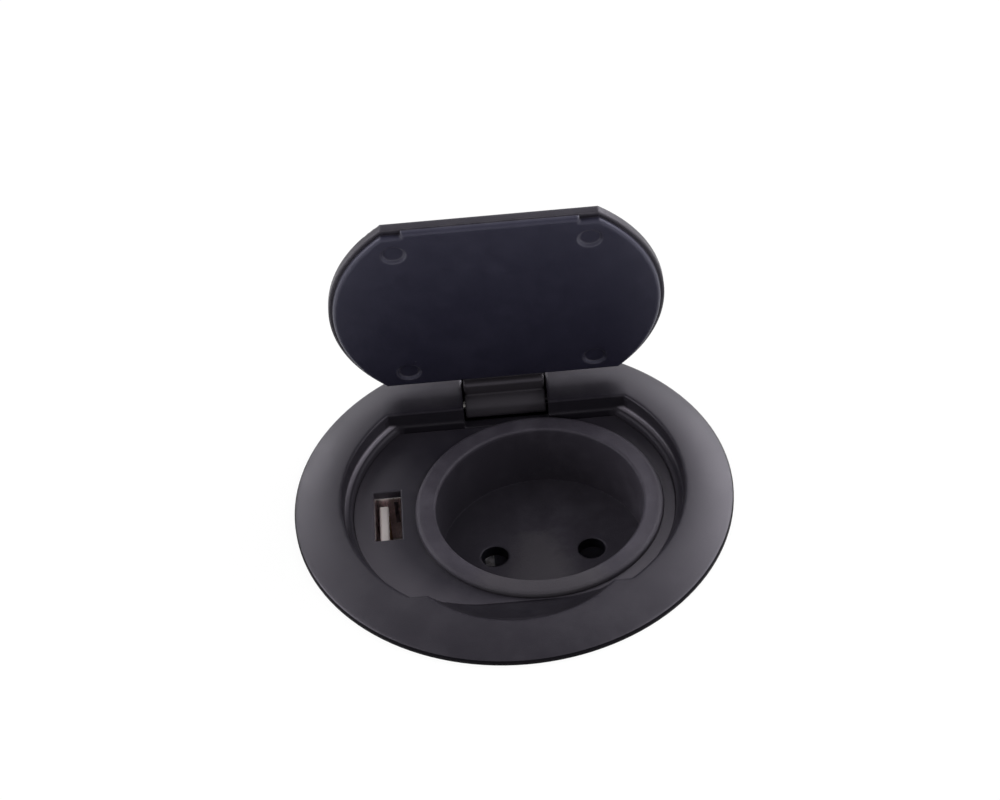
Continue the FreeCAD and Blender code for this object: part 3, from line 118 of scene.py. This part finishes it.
def moulding_group():
    """Eroded grain, flow clouds, painted highlight on the corners and settled dust of a moulded plastic."""
    inputs = [("Grain", "NodeSocketFloat", 1.0), ("Edge", "NodeSocketFloat", 0.0003),
              ("Base", "NodeSocketColor", (0.01, 0.01, 0.01, 1.0)),
              ("Worn", "NodeSocketColor", (0.02, 0.02, 0.02, 1.0)),
              ("Dust", "NodeSocketFloat", 1.0), ("Highlight", "NodeSocketFloat", 0.3)]
    grain_depth = 0.00002
    corner_highlight_tone = (0.075, 0.07, 0.082)
    dust_tone = (0.16, 0.155, 0.16)
    dust_cells_per_metre = 300.0
    clean_share = 0.965
    tree, start, end = new_group("moulded_plastic", inputs, FINISH_OUTPUTS)
    link = tree.links.new
    coords = object_coords(tree)
    grain = noise(tree, coords, 4200.0, 3.0, 0.65)
    cloud = noise(tree, coords, 70.0, 3.0, 0.6)
    smear = noise(tree, coords, 260.0, 4.0, 0.7)
    # The mould's corners are never quite sharp.
    bevel = tree.nodes.new("ShaderNodeBevel")
    bevel.samples = 8
    link(start.outputs["Edge"], bevel.inputs["Radius"])
    bump = tree.nodes.new("ShaderNodeBump")
    bump.inputs["Distance"].default_value = grain_depth
    link(start.outputs["Grain"], bump.inputs["Strength"])
    link(grain, bump.inputs["Height"])
    link(bevel.outputs["Normal"], bump.inputs["Normal"])
    link(bump.outputs["Normal"], end.inputs["Normal"])
    # Painted highlight: the corners are painted a little paler where the bevel rounds them.
    facing = tree.nodes.new("ShaderNodeVectorMath")
    facing.operation = "DOT_PRODUCT"
    link(bevel.outputs["Normal"], facing.inputs[0])
    link(tree.nodes.new("ShaderNodeNewGeometry").outputs["Normal"], facing.inputs[1])
    corner = remap(tree, facing.outputs["Value"], 0.998, 0.9)
    corner_highlight = product(tree, corner, remap(tree, smear, 0.3, 0.6, 0.35, 1.0), start.outputs["Highlight"])
    # Dust settles as a few pale points.
    cells = tree.nodes.new("ShaderNodeTexVoronoi")
    cells.inputs["Scale"].default_value = dust_cells_per_metre
    link(coords, cells.inputs["Vector"])
    split = tree.nodes.new("ShaderNodeSeparateColor")
    link(cells.outputs["Color"], split.inputs["Color"])
    rare = combine(tree, "GREATER_THAN", split.outputs["Red"], clean_share)
    speck_size = remap(tree, split.outputs["Green"], 0.0, 1.0, 0.015, 0.055)
    speck = combine(tree, "LESS_THAN", cells.outputs["Distance"], speck_size)
    dust = product(tree, rare, speck, start.outputs["Dust"])
    # The layers lie one over the other, with the dust on top.
    worn = remap(tree, product(tree, cloud, smear), 0.2, 0.42, 0.0, 0.55)
    fleck = remap(tree, grain, 0.58, 0.8, 0.0, 0.5)
    tone = start.outputs["Base"]
    for mask, colour in ((worn, start.outputs["Worn"]), (fleck, start.outputs["Worn"]),
                         (corner_highlight, corner_highlight_tone), (dust, dust_tone)):
        tone = blend_colours(tree, mask, tone, colour)
    link(tone, end.inputs["Color"])
    polish = remap(tree, cloud, 0.3, 0.7, -0.03, 0.03)
    rub = remap(tree, smear, 0.35, 0.75, -0.02, 0.04)
    link(combine(tree, "ADD", polish, rub), end.inputs["Roughness"])
    return tree


MOULDED_PLASTIC = moulding_group()
VIOLET_SHEEN = (0.92, 0.86, 1.0)


def finished_material(name, group_tree):
    """A material whose colour and normal come from a group; returns it, its shader and the group node."""
    material = bpy.data.materials.new(name)
    material.use_nodes = True
    tree = material.node_tree
    shader = tree.nodes["Principled BSDF"]
    group = tree.nodes.new("ShaderNodeGroup")
    group.name = "finish"
    group.node_tree = group_tree
    tree.links.new(group.outputs["Color"], shader.inputs["Base Color"])
    tree.links.new(group.outputs["Normal"], shader.inputs["Normal"])
    return material, shader, group


def moulding(name, base, worn, rough, grain=1.0, edge=0.0003, dust=1.0, gloss=0.5, rub=0.3,
             tint=VIOLET_SHEEN):
    """A moulded plastic; rough is its mean roughness, edge the size of its soft corners and rub the
    strength of the painted highlight on them.
    """
    material, shader, group = finished_material(name, MOULDED_PLASTIC)
    shader.inputs["Specular IOR Level"].default_value = gloss
    shader.inputs["Specular Tint"].default_value = (*tint, 1.0)
    for label, value in (("Grain", grain), ("Edge", edge), ("Base", (*base, 1.0)), ("Worn", (*worn, 1.0)),
                         ("Dust", dust), ("Highlight", rub)):
        group.inputs[label].default_value = value
    tree = material.node_tree
    roughness = combine(tree, "ADD", group.outputs["Roughness"], rough)
    tree.links.new(roughness, shader.inputs["Roughness"])
    return material


def dress(material, *names):
    """Give CAD nodes a material on every slot."""
    for name in names:
        for place in nodes[name].material_slots:
            place.material = material


def position(tree, axis):
    """One coordinate of the surface's place, in metres."""
    split = tree.nodes.new("ShaderNodeSeparateXYZ")
    tree.links.new(object_coords(tree), split.inputs["Vector"])
    return split.outputs[axis]


def above(tree, source, low):
    """One where a value is over a limit."""
    return combine(tree, "GREATER_THAN", source, low)


def below(tree, source, high):
    """One where a value is under a limit."""
    return combine(tree, "LESS_THAN", source, high)


def between(tree, source, low, high):
    """One where a value lies between two limits."""
    return product(tree, above(tree, source, low), below(tree, source, high))


def size_of(tree, source):
    """A value without its sign."""
    return combine(tree, "ABSOLUTE", source, 0.0)


def from_axis(tree, right=0.0, back=0.0):
    """Distance from an upright axis, in metres."""
    squares = []
    for axis, middle in (("X", right), ("Y", back)):
        offset = combine(tree, "SUBTRACT", position(tree, axis), middle)
        squares.append(product(tree, offset, offset))
    return combine(tree, "POWER", combine(tree, "ADD", *squares), 0.5)


def recolour(material, mask, colour):
    """Paint a second colour over a material's own where the mask is one."""
    tree = material.node_tree
    base_colour = tree.nodes["Principled BSDF"].inputs["Base Color"]
    own = base_colour.links[0].from_socket
    tree.links.new(blend_colours(tree, mask, own, colour), base_colour)


def dull_gloss(material, mask, gloss_left):
    """Take gloss from a material, so that where the mask is one only gloss_left remains."""
    tree = material.node_tree
    gloss = tree.nodes["Principled BSDF"].inputs["Specular IOR Level"]
    tree.links.new(remap(tree, mask, 0.0, 1.0, gloss.default_value, gloss_left), gloss)


flange_radius = 0.042
recess_radius = 0.0329
straight_wall_half = 0.024
wall_top = 0.0021
seat_height = -0.0003
mask_margin = 0.0002
painted_shade_black = (0.004, 0.0035, 0.005)


def shaded_walls(tree, inside):
    """Mask of the scoop and the straight walls, where shade is painted and the gloss is dulled."""
    fade = 0.0004
    middle = between(tree, position(tree, "X"), -straight_wall_half, straight_wall_half)
    under_top = remap(tree, position(tree, "Z"), wall_top, wall_top + fade, 1.0, 0.0)
    return product(tree, middle, under_top, inside)


def seat_highlight(tree, inside):
    """Mask of the painted highlight on the outer part of the lid's seat, most of it near the hinge."""
    band_inner = recess_radius - 0.00145
    band_outer = recess_radius - 0.0009
    slope = 0.15
    fade = 0.02
    band = remap(tree, from_axis(tree), band_inner, band_outer)
    level = remap(tree, position(tree, "Z"), seat_height, -seat_height, 1.0, 0.0)
    slant = product(tree, position(tree, "X"), slope)
    near_hinge = remap(tree, combine(tree, "SUBTRACT", position(tree, "Y"), slant), 0.0, fade)
    return product(tree, band, level, inside, near_hinge)


def rounded_seat(tree):
    """Mask of the seat's rounding down to the face plate."""
    round_inner = recess_radius - 0.0025
    round_outer = recess_radius - 0.0011
    radius = from_axis(tree)
    return product(tree, remap(tree, radius, round_outer - mask_margin, round_outer, 1.0, 0.0),
                   between(tree, radius, round_inner, recess_radius),
                   below(tree, position(tree, "Z"), seat_height))


def sheltered_top(tree):
    """Mask of the top beside the hinge, under the lid's edge, where no hand has polished it."""
    half_width = 0.0205
    side_fade = 0.004
    back_limit = 0.03
    back_fade = 0.0032
    depth = 0.0014
    back = position(tree, "Y")
    across = size_of(tree, position(tree, "X"))
    return product(tree, remap(tree, across, half_width, half_width + side_fade, 1.0, 0.0),
                   remap(tree, back, back_limit, back_limit - back_fade), above(tree, back, 0.0),
                   between(tree, position(tree, "Z"), wall_top, wall_top + depth))


def shade_frame(material):
    """Paint shade on the sides and walls, a highlight on the lid's seat and light on its rounding, and dull
    the sides, walls, rounding and sheltered top.
    """
    tree = material.node_tree
    side = above(tree, from_axis(tree), flange_radius - mask_margin)
    inside = below(tree, from_axis(tree), recess_radius - mask_margin)
    walls = shaded_walls(tree, inside)
    rounding = rounded_seat(tree)
    # Painted shade on the flange's outer side and on the straight walls.
    recolour(material, side, painted_shade_black)
    recolour(material, product(tree, walls, 0.6), painted_shade_black)
    # Painted highlight on the lid's seat.
    recolour(material, seat_highlight(tree, inside), (0.19, 0.175, 0.205))
    # Painted light lifts the shade on the seat's rounding.
    recolour(material, rounding, (0.019, 0.017, 0.022))
    dull = side
    for mask, share in ((rounding, 0.7), (walls, 0.4), (sheltered_top(tree), 0.75)):
        dull = combine(tree, "MAXIMUM", dull, product(tree, mask, share))
    dull_gloss(material, dull, 0.05)


frame_nylon = moulding("frame_nylon", (0.0085, 0.0072, 0.011), (0.017, 0.0155, 0.02), 0.43,
                       edge=0.0009, rub=0.05)
shade_frame(frame_nylon)
dress(frame_nylon, "top_frame")


# Flange gasket
# Flat ring of closed-cell foam in the groove under the flange, stamped from sheet and glued.

gasket_foam = moulding("gasket_foam", (0.02, 0.02, 0.02), (0.035, 0.035, 0.035), 0.85,
                       grain=4.0, edge=0.0002, dust=0.4, gloss=0.2)
dress(gasket_foam, "flange_gasket")


# Face plate
# Floor of the recess, of the same nylon and a little smoother. It is clicked into the frame from
# below and carries the socket well and the USB supply board.

def paint_edge_light(material):
    """Painted light along the plate's edge, where the ledge shades it, least of it near the hinge."""
    light_start = 0.023
    light_full = 0.031
    fade_from = 0.004
    fade_to = 0.018
    tree = material.node_tree
    edge = remap(tree, from_axis(tree), light_start, light_full, 0.0, 0.8)
    front = remap(tree, position(tree, "Y"), fade_from, fade_to, 1.0, 0.2)
    recolour(material, product(tree, edge, front), (0.06, 0.054, 0.065))


plate_nylon = moulding("plate_nylon", (0.0095, 0.0083, 0.0125), (0.018, 0.0165, 0.021), 0.45,
                       grain=0.8, edge=0.0002)
paint_edge_light(plate_nylon)
dress(plate_nylon, "face_plate")


# Socket well
# Collar, round wall and floor of harder flame-retardant plastic, put in from above so that the
# collar rests on the face plate.

well_centre = (0.00485, -0.0007)
well_floor = -0.0151
soft_corner = 0.0007


def painted_sheen_fan(tree):
    """Mask of the painted sheen between the pin holes; it widens to the front."""
    middle = 0.0037
    head = 0.0055
    head_half = 0.0028
    spread = 0.35
    ragged = 0.0008
    forward = combine(tree, "ADD", product(tree, position(tree, "Y"), -1.0), head)
    across = size_of(tree, combine(tree, "SUBTRACT", position(tree, "X"), middle))
    cloud = noise(tree, object_coords(tree), 900.0, 3.0, 0.6)
    wobble = remap(tree, cloud, 0.3, 0.7, -ragged, ragged)
    half = combine(tree, "ADD", product(tree, forward, spread), head_half)
    depth = combine(tree, "ADD", combine(tree, "SUBTRACT", half, across), wobble)
    started = remap(tree, combine(tree, "ADD", forward, wobble), -0.0004, 0.0012)
    return product(tree, remap(tree, depth, -0.002, 0.0025), started)


def well_sheen_and_shade(material):
    """Sharpen the wall's foot, paint sheen and shade, and darken the collar's front."""
    tree = material.node_tree
    right, back, height = (position(tree, axis) for axis in "XYZ")
    # Only the foot of the wall is sharp, where the core pin of the mould ends.
    foot_top = -0.006
    foot_radius = 0.0185
    sharp_corner = 0.00012
    outside = above(tree, from_axis(tree, *well_centre), foot_radius)
    foot = product(tree, below(tree, height, foot_top), outside)
    corner_size = remap(tree, foot, 0.0, 1.0, soft_corner, sharp_corner)
    tree.links.new(corner_size, tree.nodes["finish"].inputs["Edge"])
    # Painted sheen between the pin holes.
    recolour(material, product(tree, painted_sheen_fan(tree), 0.5), (0.08, 0.074, 0.08))
    # Painted shade: the well's left half is painted darker below the collar.
    shade_full = -0.012
    shade_end = 0.008
    below_collar = below(tree, height, -0.002)
    left_shade = product(tree, remap(tree, right, shade_full, shade_end, 0.9, 0.0), below_collar)
    recolour(material, left_shade, (0.009, 0.008, 0.012))
    # Painted shade on the pin holes' walls, which are also dulled.
    hole_shade = below(tree, height, well_floor - 0.0001)
    recolour(material, hole_shade, (0.005, 0.0045, 0.007))
    # The collar's front is darker and duller.
    darkening_from = -0.012
    collar_front = -0.023
    darker_front = remap(tree, back, darkening_from, collar_front, 0.0, 0.5)
    recolour(material, darker_front, (0.012, 0.011, 0.0135))
    dull_gloss(material, combine(tree, "MAXIMUM", hole_shade, darker_front), 0.1)


well_plastic = moulding("well_plastic", (0.026, 0.0228, 0.031), (0.055, 0.05, 0.063), 0.58,
                        grain=3.0, edge=soft_corner, gloss=0.42, rub=0.1)
well_sheen_and_shade(well_plastic)
dress(well_plastic, "socket_well")


# Contact carrier and terminal block
# Two insulating blocks screwed one above the other under the well: a dark one that holds the plug
# contacts and a pale one with the screw terminals.

def paint_bore_glint(material):
    """Painted glint of the left contact, on the left bore's far wall."""
    tree = material.node_tree
    glint = remap(tree, noise(tree, object_coords(tree), 700.0), 0.35, 0.55, 0.4, 1.0)
    for axis, low, high in (("X", -0.0066, -0.0048), ("Y", 0.0, 0.004), ("Z", -0.0215, -0.0174)):
        glint = product(tree, glint, between(tree, position(tree, axis), low, high))
    recolour(material, glint, (0.8, 0.78, 0.85))


carrier_plastic = moulding("carrier_plastic", (0.09, 0.085, 0.12), (0.12, 0.115, 0.15), 0.55,
                           grain=0.8, edge=0.0002, dust=0.0)
paint_bore_glint(carrier_plastic)
dress(carrier_plastic, "contact_carrier")
terminal_plastic = moulding("terminal_plastic", (0.42, 0.42, 0.4), (0.33, 0.33, 0.31), 0.5,
                            grain=0.8, edge=0.0002, dust=0.0)
dress(terminal_plastic, "terminal_block")


# Plug contacts and terminals
# Each contact is bent from nickel-plated spring brass with a flared mouth. Its tail goes down into a
# bare brass block, in which a screw clamps it on the wire.

def drawn_metal_group():
    """Fine lines of rolling or drawing, dulled patches and soft corners."""
    inputs = [("Base", "NodeSocketColor", (0.6, 0.6, 0.6, 1.0)),
              ("Dull", "NodeSocketColor", (0.3, 0.3, 0.3, 1.0)),
              ("Stretch", "NodeSocketVector", (1.0, 1.0, 0.05))]
    corner_radius = 0.00008
    line_depth = 0.00001
    tree, start, end = new_group("drawn_metal", inputs, FINISH_OUTPUTS)
    link = tree.links.new
    coords = object_coords(tree)
    stretched = tree.nodes.new("ShaderNodeVectorMath")
    stretched.operation = "MULTIPLY"
    link(coords, stretched.inputs[0])
    link(start.outputs["Stretch"], stretched.inputs[1])
    lines = noise(tree, stretched.outputs["Vector"], 6000.0, 2.0, 0.6)
    patches = remap(tree, noise(tree, coords, 400.0, 3.0, 0.6), 0.35, 0.7)
    link(blend_colours(tree, patches, start.outputs["Base"], start.outputs["Dull"]), end.inputs["Color"])
    link(remap(tree, lines, 0.3, 0.7, 0.22, 0.42), end.inputs["Roughness"])
    bevel = tree.nodes.new("ShaderNodeBevel")
    bevel.samples = 4
    bevel.inputs["Radius"].default_value = corner_radius
    bump = tree.nodes.new("ShaderNodeBump")
    bump.inputs["Distance"].default_value = line_depth
    bump.inputs["Strength"].default_value = 0.5
    link(lines, bump.inputs["Height"])
    link(bevel.outputs["Normal"], bump.inputs["Normal"])
    link(bump.outputs["Normal"], end.inputs["Normal"])
    return tree


DRAWN_METAL = drawn_metal_group()


def metal(name, base, dull, stretch=(1.0, 1.0, 0.05)):
    """A drawn or rolled metal; its lines run along the axis with the small stretch."""
    material, shader, group = finished_material(name, DRAWN_METAL)
    shader.inputs["Metallic"].default_value = 1.0
    for label, value in (("Base", (*base, 1.0)), ("Dull", (*dull, 1.0)), ("Stretch", stretch)):
        group.inputs[label].default_value = value
    material.node_tree.links.new(group.outputs["Roughness"], shader.inputs["Roughness"])
    return material


plated_brass = metal("plated_brass", (0.8, 0.77, 0.72), (0.6, 0.57, 0.52))
dress(plated_brass, "live_contact", "neutral_contact")
bare_brass = metal("bare_brass", (0.78, 0.57, 0.28), (0.5, 0.36, 0.18))
dress(bare_brass, "live_terminal", "neutral_terminal")


# Screws
# Slotted and zinc plated: two long ones through the insulating blocks, one in each terminal, two in
# the board's posts and three in the rear cover.

screw_zinc = metal("screw_zinc", (0.62, 0.63, 0.64), (0.4, 0.41, 0.42), (1.0, 1.0, 1.0))
dress(screw_zinc, "terminal_screws", "carrier_screws", "board_screws", "cover_screws")


# USB port
# Folded steel shell behind the face plate, with a pale plastic tongue moulded in one with the base
# and four dull brownish gilt strips on the tongue's right face.

shell_right, shell_back, shell_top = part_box("usb_shell")[1]


def shade_port(material):
    """Painted highlight along the sheared rim, and painted shade where a spring slot in the far wall opens
    on darkness.
    """
    rim_depth = 0.0004
    slot_left, slot_right = shell_right - 0.0017, shell_right - 0.0009
    slot_foot, slot_head = shell_top - 0.0068, shell_top - 0.0011
    far_wall = shell_back - 0.001
    tree = material.node_tree
    right, back, height = (position(tree, axis) for axis in "XYZ")
    # Painted highlight along the sheared rim.
    recolour(material, above(tree, height, shell_top - rim_depth), (0.95, 0.9, 0.88))
    # Painted shade where the spring slot opens on darkness.
    slot = product(tree, between(tree, right, slot_left, slot_right),
                   between(tree, height, slot_foot, slot_head), above(tree, back, far_wall))
    recolour(material, slot, (0.16, 0.13, 0.15))


port_steel = metal("port_steel", (0.8, 0.68, 0.7), (0.55, 0.46, 0.47), (1.0, 1.0, 0.04))
shade_port(port_steel)
dress(port_steel, "usb_shell")
tongue_plastic = moulding("tongue_plastic", (0.8, 0.74, 0.72), (0.68, 0.62, 0.6), 0.4,
                          grain=0.5, edge=0.0001, dust=0.0)
dress(tongue_plastic, "usb_insulator")
strip_gold = metal("strip_gold", (0.42, 0.29, 0.16), (0.3, 0.2, 0.12), (1.0, 0.2, 1.0))
dress(strip_gold, "usb_contacts")


# Supply board and its components
# Lacquered glass-fibre board on the face plate's posts. A transformer, two capacitors and the
# charging controller are soldered to its underside.

def board_traces(material):
    """Copper lines under the lacquer, a little lighter than the board."""
    tree = material.node_tree
    squares = tree.nodes.new("ShaderNodeTexBrick")
    squares.inputs["Scale"].default_value = 420.0
    squares.inputs["Mortar Size"].default_value = 0.06
    tree.links.new(object_coords(tree), squares.inputs["Vector"])
    lines = remap(tree, squares.outputs["Fac"], 0.0, 1.0, 0.0, 0.7)
    recolour(material, lines, (0.06, 0.2, 0.07))


def wrap_winding(material):
    """Yellow tape round the winding, between the two ferrite ends."""
    core_front = -0.00238
    core_length = 0.00849
    core_end = 0.00241
    inset = core_end + 0.00002
    tree = material.node_tree
    tape = between(tree, position(tree, "Y"), core_front + inset, core_front + core_length - inset)
    recolour(material, tape, (0.55, 0.36, 0.05))


def bare_can_end(material):
    """Aluminium end of the can, which the sleeve leaves bare."""
    can_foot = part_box("usb_capacitors")[0][2]
    tree = material.node_tree
    recolour(material, below(tree, position(tree, "Z"), can_foot + 0.00005), (0.5, 0.5, 0.5))


board_lacquer = moulding("board_lacquer", (0.02, 0.12, 0.05), (0.03, 0.18, 0.07), 0.3,
                         grain=0.3, edge=0.0001, dust=0.0)
board_traces(board_lacquer)
dress(board_lacquer, "usb_board")
ferrite = moulding("ferrite", (0.06, 0.06, 0.065), (0.1, 0.1, 0.11), 0.55, grain=1.5, edge=0.0002, dust=0.0)
wrap_winding(ferrite)
dress(ferrite, "usb_transformer")
capacitor_sleeve = moulding("capacitor_sleeve", (0.02, 0.03, 0.08), (0.03, 0.04, 0.1), 0.3,
                            grain=0.3, edge=0.0002, dust=0.0)
bare_can_end(capacitor_sleeve)
dress(capacitor_sleeve, "usb_capacitors")
controller_package = moulding("controller_package", (0.02, 0.02, 0.02), (0.03, 0.03, 0.03), 0.5,
                              edge=0.0001, dust=0.0)
dress(controller_package, "usb_controller")


# Supply wires
# Stranded copper in extruded insulation, brown for live and blue for neutral, from the terminals up
# to the board.

brown_insulation = moulding("brown_insulation", (0.14, 0.05, 0.02), (0.18, 0.07, 0.03), 0.4,
                            grain=0.4, edge=0.0001, dust=0.0)
dress(brown_insulation, "live_wire")
blue_insulation = moulding("blue_insulation", (0.02, 0.08, 0.32), (0.03, 0.11, 0.4), 0.4,
                           grain=0.4, edge=0.0001, dust=0.0)
dress(blue_insulation, "neutral_wire")


# Rear housing and cover
# Round can of black nylon that hooks into the frame's skirt. A thread is moulded on its outside for
# the clamp nut, and the cover is screwed on from below.

housing_nylon = moulding("housing_nylon", (0.014, 0.014, 0.015), (0.026, 0.026, 0.028), 0.5,
                         grain=1.2, dust=0.6)
dress(housing_nylon, "rear_housing", "rear_cover")

thread_pitch = 0.003
thread_turns = 14
thread_root = 0.0343
thread_head = -0.0095
thread_foot = thread_head - thread_pitch * thread_turns
bpy.ops.object.select_all(action="DESELECT")
bpy.ops.mesh.primitive_circle_add(vertices=4, radius=0.001, fill_type="NOTHING")
thread = bpy.context.object
thread.name = "housing_thread"
# The ridge's section is wide at the root and narrow at the crest.
ridge_section = [(-0.0001, -0.0008), (0.0004, -0.0003), (0.0004, 0.0003), (-0.0001, 0.0008)]
for vertex, (out, up) in zip(thread.data.vertices, ridge_section):
    vertex.co = (thread_root + out, 0.0, thread_foot + up)
winding = thread.modifiers.new("thread", "SCREW")
winding.angle = 2 * math.pi
winding.screw_offset = thread_pitch
winding.iterations = thread_turns
winding.steps = 64
winding.render_steps = 64
bpy.ops.object.modifier_apply(modifier=winding.name)
# The two open ends of the ridge are closed.
bpy.ops.object.mode_set(mode="EDIT")
bpy.ops.mesh.select_all(action="DESELECT")
bpy.ops.mesh.select_non_manifold()
bpy.ops.mesh.fill_holes(sides=4)
bpy.ops.mesh.select_all(action="SELECT")
bpy.ops.mesh.normals_make_consistent(inside=False)
bpy.ops.object.mode_set(mode="OBJECT")
bpy.ops.object.shade_smooth_by_angle(angle=math.radians(35))
thread.data.materials.append(housing_nylon)
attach(thread, "socket")


# Entry grommet
# Soft black rubber ring that is buttoned into the cover's hole for the supply cord.

grommet_rubber = moulding("grommet_rubber", (0.016, 0.016, 0.016), (0.03, 0.03, 0.03), 0.6,
                          grain=1.5, edge=0.0004, dust=0.6, gloss=0.35)
dress(grommet_rubber, "entry_grommet")


# Clamp washer and nut
# The nut winds up the housing's thread and presses the washer against the worktop's underside. Its
# skirt has hollows for the fingers.

clamp_nylon = moulding("clamp_nylon", (0.016, 0.016, 0.017), (0.03, 0.03, 0.032), 0.52,
                       grain=1.3, edge=0.0004, dust=0.6)
dress(clamp_nylon, "clamp_nut", "clamp_washer")


# Lid
# Outer shell and inner plate of black plastic, glued face to face. The shell carries the hinge arm
# and the plate has four round buffer seats.

def arm_tones_and_light(material):
    """Hinge arm, paler than the shell; its barrel is darker, and painted light lifts the shade low down."""
    arm_half = 0.0082
    arm_top = 0.0056
    barrel_from, barrel_full = 0.003, 0.0012
    underside_from, underside_full = -0.0005, -0.0025
    tree = material.node_tree
    across = position(tree, "X")
    height = position(tree, "Z")
    arm = product(tree, between(tree, across, -arm_half, arm_half), below(tree, height, arm_top))
    recolour(material, arm, (0.032, 0.0287, 0.0345))
    barrel = product(tree, arm, remap(tree, height, barrel_from, barrel_full))
    recolour(material, barrel, (0.021, 0.0188, 0.0225))
    # Painted light on the shaded underside.
    recolour(material, remap(tree, height, underside_from, underside_full), (0.062, 0.056, 0.068))
    dull_gloss(material, arm, 0.4)


shell_plastic = moulding("shell_plastic", (0.009, 0.0081, 0.0125), (0.016, 0.0148, 0.021), 0.5,
                         edge=0.0007, dust=0.5, rub=0.7)
arm_tones_and_light(shell_plastic)
dress(shell_plastic, "lid_shell")
lid_plastic = moulding("lid_plastic", (0.0098, 0.0092, 0.0205), (0.0165, 0.0155, 0.03), 0.5,
                       edge=0.0007, dust=0.5, gloss=0.65, rub=0.7, tint=(0.79, 0.78, 1.0))
dress(lid_plastic, "lid_inner_plate")


# Hinge pin
# Drawn steel pin, pressed into the frame's two ears; it shows in the gaps beside the arm. The right
# end, by which it was put in, is painted dark: painted shade.

def paint_right_end_shade(material):
    """Painted shade on the pin's right part."""
    shade_from = 0.004
    tree = material.node_tree
    recolour(material, above(tree, position(tree, "X"), shade_from), (0.02, 0.018, 0.02))


pin_steel = metal("pin_steel", (0.62, 0.6, 0.58), (0.4, 0.38, 0.37), (0.05, 1.0, 1.0))
paint_right_end_shade(pin_steel)
dress(pin_steel, "hinge_pin")


# Worktop
# Plain white board with the round cut-out that the socket hangs in. It is left clear from below, so
# that the housing shows there.

cutout_radius = 0.0352
board_reach = 120.0
bpy.ops.object.select_all(action="DESELECT")
bpy.ops.mesh.primitive_circle_add(vertices=96, radius=cutout_radius, fill_type="NOTHING")
board = bpy.context.object
board.name = "worktop"
bpy.ops.object.mode_set(mode="EDIT")
bpy.ops.mesh.select_all(action="SELECT")
bpy.ops.mesh.extrude_edges_move()
bpy.ops.transform.resize(value=(board_reach, board_reach, 1.0))
bpy.ops.mesh.select_all(action="SELECT")
bpy.ops.mesh.normals_make_consistent(inside=False)
bpy.ops.object.mode_set(mode="OBJECT")
if board.data.polygons[0].normal.z < 0:
    board.data.flip_normals()


def worktop_finish():
    """Matt white; seen straight it is lifted nearly to white, and a trace of the shadow stays."""
    material = bpy.data.materials.new("worktop_white")
    material.use_nodes = True
    tree = material.node_tree
    link = tree.links.new
    shader = tree.nodes["Principled BSDF"]
    shader.inputs["Roughness"].default_value = 0.8
    mottle = noise(tree, object_coords(tree), 30.0)
    link(blend_colours(tree, mottle, (0.84, 0.84, 0.84), (0.88, 0.88, 0.88)), shader.inputs["Base Color"])
    seen_straight = tree.nodes.new("ShaderNodeLightPath").outputs["Is Camera Ray"]
    lifted = tree.nodes.new("ShaderNodeMixShader")
    link(product(tree, seen_straight, 0.93), lifted.inputs["Fac"])
    link(shader.outputs["BSDF"], lifted.inputs[1])
    link(tree.nodes.new("ShaderNodeEmission").outputs["Emission"], lifted.inputs[2])
    sides = tree.nodes.new("ShaderNodeMixShader")
    link(tree.nodes.new("ShaderNodeNewGeometry").outputs["Backfacing"], sides.inputs["Fac"])
    link(lifted.outputs["Shader"], sides.inputs[1])
    link(tree.nodes.new("ShaderNodeBsdfTransparent").outputs["BSDF"], sides.inputs[2])
    link(sides.outputs["Shader"], tree.nodes["Material Output"].inputs["Surface"])
    return material


board.data.materials.append(worktop_finish())


# Studio
# White surroundings for the camera, a dimmer room for the object, and soft lamps round about: the
# strongest at both sides and behind on the right, weaker ones behind on the left and in front.

room_light = 0.35
world = bpy.data.worlds.new("studio")
bpy.context.scene.world = world
world.use_nodes = True
background = world.node_tree.nodes["Background"]
background.inputs["Color"].default_value = (1.0, 1.0, 1.0, 1.0)
seen = world.node_tree.nodes.new("ShaderNodeLightPath").outputs["Is Camera Ray"]
strength = remap(world.node_tree, seen, 0.0, 1.0, room_light, 1.0)
world.node_tree.links.new(strength, background.inputs["Strength"])
for name, place, width, power in (("lamp_back_right", (0.62, 0.85, 0.62), 0.7, 8.5),
                                  ("lamp_rear_right", (0.95, 0.6, 0.5), 0.6, 6.0),
                                  ("lamp_back_left", (-0.54, 0.92, 0.53), 0.6, 4.4),
                                  ("lamp_side_right", (1.2, 0.1, 0.6), 1.0, 9.5),
                                  ("lamp_side_left", (-1.2, 0.1, 0.6), 1.0, 14.0),
                                  ("lamp_front_right", (1.0, -0.45, 0.85), 0.6, 4.0),
                                  ("lamp_front", (0.0, -1.2, 0.45), 0.7, 1.5)):
    light = bpy.data.lights.new(name, "AREA")
    light.size = width
    light.energy = power
    holder = bpy.data.objects.new(name, light)
    holder.location = place
    holder.rotation_euler = (-Vector(place)).to_track_quat("-Z", "Y").to_euler()
    bpy.context.scene.collection.objects.link(holder)


# Camera
# At the photograph's place, looking the same way and tilted by the same few degrees.

eye = bpy.data.cameras.new("camera")
eye.lens = 90.0
eye.sensor_width = 36.0
eye.clip_start = 0.01
camera = bpy.data.objects.new("camera", eye)
place = Vector((0.000651, -0.335919, 0.341308))
ahead = Vector((-0.003346, 0.729014, -0.684490))
tilt = math.radians(-5.17)
level_side = ahead.cross(Vector((0, 0, 1))).normalized()
level_up = level_side.cross(ahead)
side = level_side * math.cos(tilt) + level_up * math.sin(tilt)
up = level_up * math.cos(tilt) - level_side * math.sin(tilt)
rows = [(side[row], up[row], -ahead[row], place[row]) for row in range(3)]
camera.matrix_world = Matrix(rows + [(0, 0, 0, 1)])
bpy.context.scene.collection.objects.link(camera)
bpy.context.scene.camera = camera
bpy.context.scene.view_settings.view_transform = "Standard"
